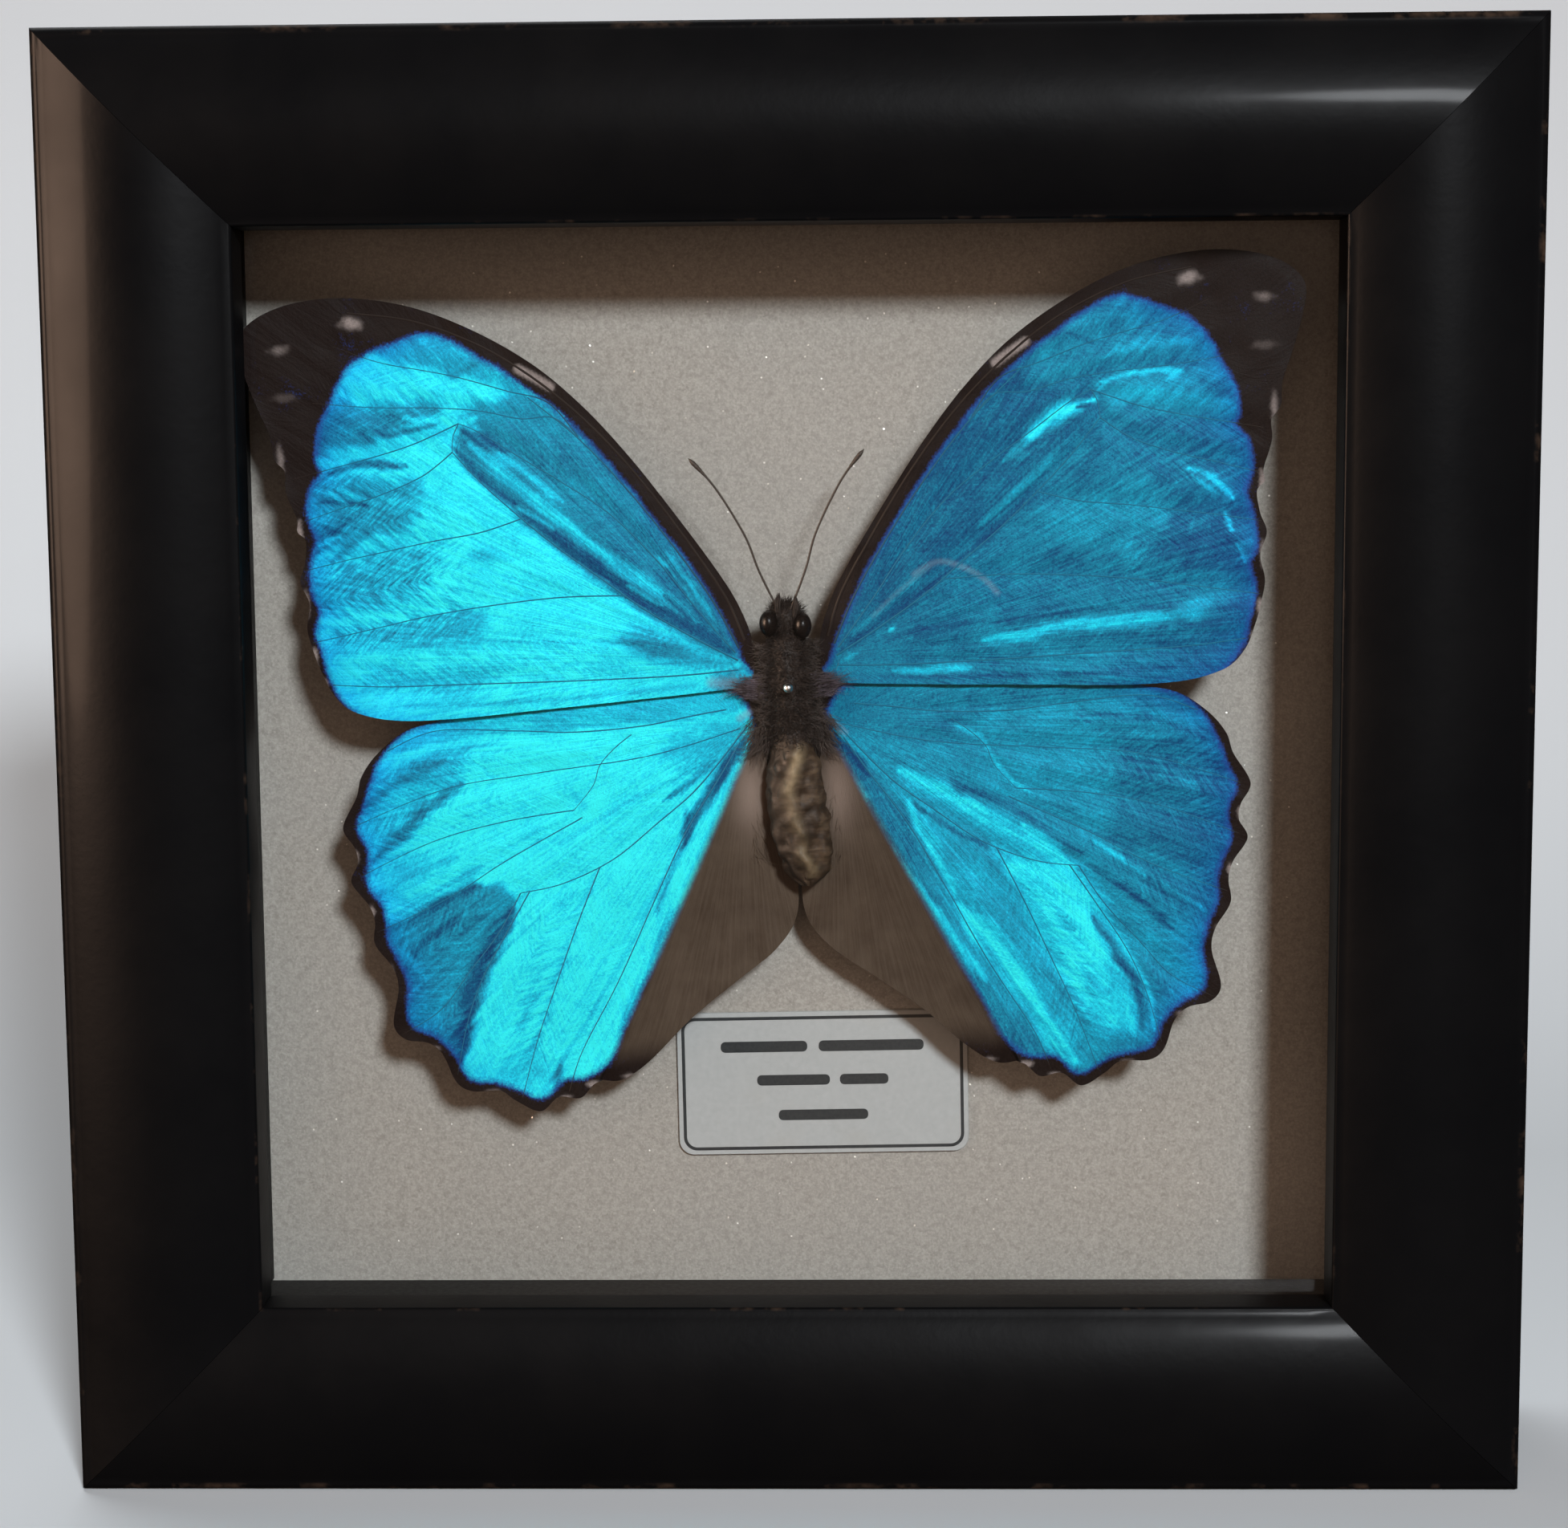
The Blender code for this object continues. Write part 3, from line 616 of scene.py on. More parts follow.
def hardboardMaterial():
    mat, shader = newMaterial("hardboard", Specular_IOR_Level=0.3)
    where = objectCoords(mat)
    fibre = noise(mat, stretched(mat, where, (260.0, 260.0, 900.0), (0, 0.5, 0)), 1.0, 5.0, 0.7)
    fibreAcross = noise(mat, stretched(mat, where, (900.0, 260.0, 240.0), (0, 0.3, 0)), 1.0, 5.0, 0.7)
    stain = noise(mat, where, 22.0, 4.0, 0.6)
    tone = calc(mat, "MULTIPLY", fibre, fibreAcross)
    base = ramp(mat, tone, [(0.12, rgb(0.13, 0.078, 0.042)), (0.28, rgb(0.235, 0.150, 0.085)),
                            (0.45, rgb(0.33, 0.225, 0.135))])
    plug(mat, shader["Base Color"], mixed(mat, remap(mat, stain, 0.4, 0.75, 0.0, 0.4), base,
                                          rgb(0.15, 0.095, 0.055)))
    plug(mat, shader["Roughness"], remap(mat, tone, 0.1, 0.5, 0.85, 0.6))
    plug(mat, shader["Normal"], bumped(mat, tone, 0.5, 0.0002))
    return mat


def blackStripMaterial():
    mat, shader = newMaterial("blackStrip", Specular_IOR_Level=0.3)
    fuzz = noise(mat, objectCoords(mat), 1500.0, 3.0, 0.6)
    plug(mat, shader["Base Color"], mixed(mat, fuzz, rgb(0.014, 0.013, 0.012), rgb(0.03, 0.028, 0.026)))
    plug(mat, shader["Roughness"], remap(mat, fuzz, 0.2, 0.8, 0.9, 0.7))
    return mat


sparkle = {"margin": 8.0, "perSquareMetre": 24000.0, "radius": 0.14, "spread": 0.2, "tilt": 0.8,
           "rise": 0.02, "seed": 11}


def glitterMaterial():
    mat, shader = newMaterial("cardGlitter", Metallic=0.25, Roughness=0.35)
    where = objectCoords(mat)
    plug(mat, shader["Base Color"], ramp(mat, noise(mat, where, 900.0),
                                         [(0.3, rgb(0.75, 0.70, 0.62)), (0.7, rgb(0.95, 0.95, 0.93))]))
    return mat


def makeSparkle():
    # fine mica flecks that lie in the card's face
    inset = sparkle["margin"] * millimetre
    y = boardLow.y - sparkle["rise"] * millimetre
    corners = [(boardLow.x + inset, y, boardLow.z + inset), (boardHigh.x - inset, y, boardLow.z + inset),
               (boardHigh.x - inset, y, boardHigh.z - inset), (boardLow.x + inset, y, boardHigh.z - inset)]
    patch = makePiece("sparklePatch", corners, [(0, 1, 2, 3)], [])
    setAttribute(patch, "fur", [1.0] * 4)
    radius = sparkle["radius"] * millimetre
    tree = scatterTree("cardSparkle", flakeShape, glitterMaterial())
    flakes = grow(patch, tree, {"Density": sparkle["perSquareMetre"], "Seed": sparkle["seed"], "Width": radius,
                                "Length": radius, "Length Spread": sparkle["spread"], "Tilt": sparkle["tilt"]},
                  "board_sparkle")
    bpy.data.objects.remove(patch)
    settle(flakes, "grey_card")


def makeBoards():
    nodes = frame["nodes"]
    glass = nodes["glass_pane"]
    glass.data.materials[0] = glassMaterial()
    glass.visible_shadow = False
    glass.visible_diffuse = False
    glass.visible_glossy = False
    nodes["mount_board"].data.materials[0] = greyCardMaterial()
    nodes["back_board"].data.materials[0] = hardboardMaterial()
    strip = blackStripMaterial()
    for side in ("bottom", "right", "top", "left"):
        nodes["spacer_" + side].data.materials[0] = strip


makeBoards()
makeSparkle()
print("glass and boards ready")


card = {
    "size": (38.2, 19.0), "corner": 2.0, "thick": 0.35, "turn": 0.8, "bevel": 0.08,
    "borderInset": 0.6, "borderWidth": 0.42, "borderTighter": 0.2, "inkBase": 0.005, "inkRise": 0.025,
    "barRounding": 0.42,
    # rows of plain bars where print would stand: height above the middle, bar lengths, gap, bar height
    "rows": [(4.9, (11.4, 13.8), 1.5, 1.45), (0.4, (9.6, 6.4), 1.3, 1.4), (-4.3, (11.8,), 0.0, 1.4)],
}


def roundedLoop(width, height, radius, steps=8):
    loop = []
    for quarter, (signX, signZ) in enumerate(((1, 1), (-1, 1), (-1, -1), (1, -1))):
        for i in range(steps + 1):
            angle = math.radians(90 * (quarter + i / steps))
            loop.append((signX * (width / 2 - radius) + radius * math.cos(angle),
                         signZ * (height / 2 - radius) + radius * math.sin(angle)))
    return loop


def onCard(x, z, rise):
    # rise is how far a point stands in front of the card's face, millimetres
    middle = (labelLow + labelHigh) / 2
    angle = math.radians(card["turn"])
    return (middle.x + (x * math.cos(angle) - z * math.sin(angle)) * millimetre, labelLow.y - rise * millimetre,
            middle.z + (x * math.sin(angle) + z * math.cos(angle)) * millimetre)


def cardStockMaterial():
    mat, shader = newMaterial("cardStock", Specular_IOR_Level=0.4)
    where = objectCoords(mat)
    fibre = noise(mat, where, 1400.0, 4.0, 0.65)
    foxing = noise(mat, where, 90.0, 3.0, 0.6)
    base = mixed(mat, remap(mat, fibre, 0.3, 0.7), rgb(0.40, 0.425, 0.43), rgb(0.45, 0.475, 0.48))
    plug(mat, shader["Base Color"], mixed(mat, remap(mat, foxing, 0.55, 0.8, 0.0, 0.3), base,
                                          rgb(0.40, 0.385, 0.335)))
    plug(mat, shader["Roughness"], remap(mat, fibre, 0.2, 0.8, 0.6, 0.75))
    plug(mat, shader["Normal"], bumped(mat, fibre, 0.3, 0.00004))
    return mat


def inkMaterial():
    mat, shader = newMaterial("cardInk", Specular_IOR_Level=0.3)
    where = objectCoords(mat)
    patchy = noise(mat, where, 2200.0, 3.0, 0.6)
    plug(mat, shader["Base Color"], mixed(mat, patchy, rgb(0.010, 0.012, 0.014), rgb(0.045, 0.052, 0.055)))
    plug(mat, shader["Roughness"], remap(mat, patchy, 0.2, 0.8, 0.5, 0.7))
    return mat


def slab(loop, nearRise, farRise):
    # closed flat prism between two distances in front of the card's face
    count = len(loop)
    points = [onCard(x, z, rise) for rise in (farRise, nearRise) for x, z in loop]
    faces = [tuple(range(count)), tuple(range(count, 2 * count))[::-1]]
    faces += [(i, count + i, count + (i + 1) % count, (i + 1) % count) for i in range(count)]
    return points, faces


def makeCard():
    width, height = card["size"]
    stock, ink = cardStockMaterial(), inkMaterial()
    bevel = card["bevel"]
    rings = []
    for inset, rise in ((bevel, -card["thick"]), (0.0, bevel - card["thick"]), (0.0, -bevel), (bevel, 0.0)):
        loop = roundedLoop(width - 2 * inset, height - 2 * inset, card["corner"] - inset)
        rings.append([onCard(x, z, rise) for x, z in loop])
    points, faces = sweep(rings)
    body = makePiece("caption_card", points, faces, [stock], smoothAngle=40)
    facesOutward(body)
    settle(body, "white_card", "label")

    points, faces = [], []
    inset = card["borderInset"]
    corner = card["corner"] - card["borderTighter"]
    outer = roundedLoop(width - 2 * inset, height - 2 * inset, corner)
    line = 2 * (inset + card["borderWidth"])
    inner = roundedLoop(width - line, height - line, corner - card["borderWidth"])
    count = len(outer)
    base, rise = card["inkBase"], card["inkRise"]
    for loop, height in ((outer, base), (outer, rise), (inner, rise), (inner, base)):
        points += [onCard(x, z, height) for x, z in loop]
    for ring in range(4):
        for i in range(count):
            j = (i + 1) % count
            nextRing = (ring + 1) % 4
            faces.append((ring * count + i, ring * count + j, nextRing * count + j, nextRing * count + i))
    border = makePiece("card_border", points, faces, [ink])
    facesOutward(border)
    settle(border, "white_card")

    points, faces = [], []
    for middle, lengths, gap, tall in card["rows"]:
        x = -(sum(lengths) + gap * (len(lengths) - 1)) / 2
        for length in lengths:
            bar = [(x + length / 2 + bx, middle + bz)
                   for bx, bz in roundedLoop(length, tall, tall * card["barRounding"], 4)]
            barPoints, barFaces = slab(bar, base, rise)
            start = len(points)
            points += barPoints
            faces += [tuple(start + i for i in face) for face in barFaces]
            x += length + gap
    bars = makePiece("card_bars", points, faces, [ink])
    facesOutward(bars)
    settle(bars, "white_card")


makeCard()
print("caption card ready")


# the insect is laid out in its own millimetres from the pin: x outwards, z towards the head,
# for the right-hand side; the left-hand side is the mirror image
insect = {"turn": 2.6}


def onInsect(side, x, z, depth):
    # world points of places on the insect, whose depth is measured from the sight edge's front
    angle = math.radians(insect["turn"])
    x = side * np.asarray(x, dtype=float) * millimetre
    z = np.asarray(z, dtype=float) * millimetre
    y = sightPlane + np.asarray(depth, dtype=float) * millimetre
    return np.stack([pinPlace[0] + x * math.cos(angle) - z * math.sin(angle), y + 0 * x,
                     pinPlace[1] + x * math.sin(angle) + z * math.cos(angle)], axis=-1)


def valueNoise(x, y, seed):
    # smooth random field between -1 and 1 with features about one unit wide
    table = np.random.default_rng(seed).uniform(-1, 1, (64, 64))
    x0, y0 = np.floor(x).astype(int), np.floor(y).astype(int)
    tx, ty = x - x0, y - y0
    tx, ty = tx * tx * (3 - 2 * tx), ty * ty * (3 - 2 * ty)
    near = table[x0 % 64, y0 % 64] * (1 - tx) + table[(x0 + 1) % 64, y0 % 64] * tx
    far = table[x0 % 64, (y0 + 1) % 64] * (1 - tx) + table[(x0 + 1) % 64, (y0 + 1) % 64] * tx
    return near * (1 - ty) + far * ty


# what both forewings share; veins run outwards from the body
forewing = {
    "name": "forewing", "depth": 13.5, "rise": 0.052, "thick": 0.3, "base": (6.0, 3.4), "grid": 0.34,
    "outline": [(4.2, 5.5), (5.8, 10.5), (8.6, 15.5), (13.6, 23.0), (18.6, 30.0), (23.8, 36.2), (29.5, 41.5),
                (36.5, 46.0), (44.0, 49.3), (51.5, 50.8), (58.0, 50.6), (63.0, 49.0), (65.6, 46.3), (65.2, 42.5),
                (63.8, 38.0), (62.5, 34.5), (62.2, 31.6), (61.0, 30.0), (61.0, 27.5), (59.9, 24.0), (60.0, 22.5),
                (59.0, 21.3), (59.3, 18.6), (60.0, 16.2), (59.1, 13.4), (59.6, 10.2), (58.8, 6.8), (58.3, 5.2),
                (56.8, 1.8), (53.6, -0.7), (46.0, -1.9), (30.0, -1.3), (7.0, 0.0), (4.6, 1.0)],
    "blue": [(6.4, 3.6), (8.0, 7.8), (10.0, 11.8), (12.3, 15.8), (16.9, 22.4), (21.7, 29.0), (27.0, 35.0),
             (30.3, 37.8), (34.5, 41.0), (38.4, 43.6), (42.5, 45.4), (46.0, 44.6), (50.5, 42.8), (53.0, 40.5),
             (54.4, 37.4), (56.1, 34.5), (56.6, 31.3), (55.9, 29.4), (57.6, 27.5), (57.8, 23.6), (57.0, 21.4),
             (57.9, 18.3), (58.0, 14.5), (57.2, 12.4), (57.9, 9.6), (57.0, 5.5), (55.6, 2.0), (53.0, -0.5),
             (46.0, -2.5), (30.0, -2.5), (6.4, -0.6)],
    "veins": {
        "cellLower": (0.20, [(6.2, 3.5), (12.6, 7.3), (18, 10.9), (22.6, 14.6), (27.6, 18.6), (32.5, 23), (36.7, 27.2),
                             (40.2, 31.3)]),
        "cellUpper": (0.17, [(6.5, 4.5), (10.9, 10.1), (15.5, 16.4), (21, 22.5), (27, 27), (31.8, 30.2), (36.6, 33.5),
                             (39.2, 34.8)]),
        "crossVein": (0.13, [(39.2, 34.8), (40, 33.2), (40.2, 31.3)]),
        "costal": (0.34, [(5.2, 6), (7.2, 11.3), (11.2, 18), (16.8, 26.3), (22.6, 33.4), (29, 39.4), (36, 44.2),
                          (44, 47.6), (52, 49)]),
        "subcostal": (0.22, [(6, 5), (9, 11.2), (13.6, 18.4), (19, 25.8), (24.5, 32.2), (30.5, 37.6)]),
        "radialA": (0.14, [(24.5, 32.4), (28, 36.8), (33, 38.5), (39, 40.5), (43, 41.5), (48.5, 42.8), (54, 45)]),
        "radialB": (0.14, [(24.5, 32.2), (27.4, 34.9), (31.5, 35), (36.4, 36.2), (42.4, 36.9), (49.4, 37.3),
                           (57, 38.2)]),
        "medialA": (0.14, [(39.2, 34.8), (44.8, 32.6), (50, 31.2), (56, 29.9), (60, 29)]),
        "medialB": (0.14, [(40.2, 31.3), (44, 28.6), (49.1, 26.6), (54, 25.2), (59.4, 23.6)]),
        "cubitalA": (0.14, [(32.3, 22.6), (37.4, 21.2), (43.5, 20.4), (49.6, 19.4), (54.4, 18.6), (59.4, 17.6)]),
        "cubitalB": (0.15, [(20.3, 12.4), (27.8, 12.6), (36, 12.1), (44.1, 11.2), (51, 10), (59, 8.6)]),
        "anal": (0.17, [(6.2, 2.3), (13.5, 2.0), (23, 2.0), (33, 2.2), (42.5, 2.4), (50, 2.6), (57, 3.2)]),
    },
    # faint folds in the membrane, drawn as thin lines of painted shade without a rib
    "folds": [[(9, 4.2), (18, 6.4), (28.3, 7.0), (40, 7.6), (56, 7.2)],
              [(6.6, 0.9), (20, 0.2), (36, -0.2), (48, 0.0)], [(36, 42.2), (39.5, 40.6)]],
    "spots": [((51.6, 47.7), 1.35, 0.85, 0.7), ((60.6, 44.9), 1.2, 0.6, 0.38), ((60.4, 39.0), 1.6, 0.5, 0.14),
              ((64.6, 37.3), 0.5, 1.0, 0.35), ((61.4, 31.2), 0.4, 1.7, 0.5), ((59.7, 22.3), 0.4, 1.5, 0.75),
              ((59.5, 13.4), 0.4, 1.5, 0.75), ((58.9, 6.9), 0.4, 1.3, 0.7), ((57.9, 3.4), 0.35, 0.6, 0.5)],
    "streak": ([(27.6, 38.7), (29.4, 39.9), (31.4, 41.1)], 0.62, 0.75),
    "barred": [([(40, 9), (56, 7), (57, 19), (41, 20)], 1.0), ([(44, 20), (57, 20), (57, 29), (45, 30)], 0.7),
               ([(24, 0), (55, 0), (55, 7), (24, 7)], 0.45), ([(38, 32), (55, 33), (52, 43), (38, 40)], 0.35)],
}

hindwing = {
    "name": "hindwing", "depth": 14.6, "rise": 0.047, "thick": 0.3, "base": (5.6, -4.6), "grid": 0.34,
    "outline": [(4.4, -2.6), (9.0, 0.4), (22.0, 1.6), (35.0, 0.4), (43.5, -2.0), (48.5, -3.2), (52.2, -5.8),
                (54.4, -8.6), (55.2, -11.2), (57.2, -15.0), (55.9, -17.6), (55.6, -19.6), (56.6, -22.0),
                (54.6, -25.0), (54.0, -27.2), (54.2, -30.1), (52.2, -33.2), (51.6, -36.0), (52.6, -40.6),
                (51.2, -42.6), (48.4, -43.2), (46.6, -44.8), (45.2, -48.4), (43.2, -49.8), (39.6, -49.9),
                (37.6, -51.4), (34.6, -52.9), (32.2, -51.2), (29.4, -51.5), (27.2, -49.6), (24.2, -49.7),
                (20.5, -47.6), (14.8, -42.4), (8.8, -38.0), (3.4, -34.0), (0.5, -29.5), (0.4, -22.0), (1.6, -15.0),
                (3.6, -8.8)],
    "blue": [(5.6, -3.4), (9.0, -0.2), (22.0, 1.2), (35.0, 0.0), (43.5, -2.6), (48.2, -3.9), (51.2, -6.6),
             (52.8, -9.6), (53.9, -12.6), (54.8, -15.4), (53.8, -17.4), (53.6, -20.0), (54.0, -22.2),
             (52.4, -25.0), (52.0, -27.4), (51.9, -30.0), (50.3, -33.4), (49.8, -36.2), (50.0, -40.2),
             (47.4, -41.8), (44.8, -44.2), (43.2, -47.6), (39.4, -48.4), (36.6, -49.6), (34.4, -50.6),
             (31.6, -48.6), (28.6, -48.2), (25.5, -46.0), (21.8, -38.8), (16.0, -28.5), (9.8, -16.0),
             (5.8, -7.5)],
    "foldLine": [(5.8, -7.5), (25.5, -47.0)], "foldDrop": 3.2, "foldSlope": 0.45,
    "veins": {
        "costal": (0.16, [(8.1, -2.7), (12.7, -3.3), (18.8, -4.2), (27, -4.5), (35, -3.9), (44.7, -3.4), (51, -5.6)]),
        "radial": (0.12, [(20.2, -5.2), (22.4, -6.8), (24.4, -8.9), (25.4, -11.4), (28, -14.4)]),
        "radialOut": (0.13, [(6.4, -5.2), (18, -8), (32, -9.4), (44, -10.8), (56, -15)]),
        "medialA": (0.13, [(28, -14.4), (37, -15.4), (46, -17.4), (55.6, -21.4)]),
        "medialB": (0.13, [(27, -15.4), (37, -20.4), (44.7, -24.8), (53.8, -28.6)]),
        "medialC": (0.14, [(35.4, -24.6), (38.4, -29.5), (42.6, -34.5), (46.4, -39), (51.6, -42)]),
        "cellLower": (0.17, [(5.5, -4.9), (12, -12.2), (17.5, -16.6), (23.5, -21), (30, -23.7), (35.4, -24.6)]),
        "cubitalA": (0.14, [(34.2, -24.4), (37.4, -29.5), (41, -35.5), (43.2, -41), (44.9, -47.6)]),
        "cubitalB": (0.15, [(25.2, -21.9), (28.4, -28.9), (31.4, -36.1), (34.4, -43.6), (36.8, -51)]),
        "anal": (0.17, [(6.6, -7.0), (9.6, -11.6), (14, -18), (18.5, -26.5), (23.6, -36.5), (28.8, -45.4),
                        (30.8, -50.6)]),
    },
    "folds": [[(6.2, -6), (13, -10.2), (21, -13.6), (30, -18.6)], [(13.2, -15.6), (18, -25), (24, -35.4), (33, -49)],
              [(38, -5.4), (46, -6.6), (54, -10.4)], [(40, -27), (46, -31.4), (52, -35)]],
    "spots": [((55.8, -18.9), 0.35, 0.9, 0.7), ((54.3, -25.9), 0.35, 0.9, 0.7), ((52.3, -34.6), 0.35, 1.3, 0.7),
              ((47.6, -44.0), 0.8, 0.35, 0.55), ((40.6, -50.0), 0.9, 0.3, 0.5), ((31.4, -51.3), 0.8, 0.3, 0.6),
              ((27.6, -49.8), 0.9, 0.35, 0.75), ((23.2, -49.2), 0.8, 0.35, 0.6)],
    "streak": None,
    "barred": [([(36, -5), (54, -8), (54, -22), (38, -14)], 0.7), ([(28, -25), (35, -27), (38, -46), (33, -48)], 1.0),
               ([(7, -5), (16, -9), (12, -14)], 0.6), ([(40, -22), (54, -24), (50, -42), (43, -44)], 0.5)],
}
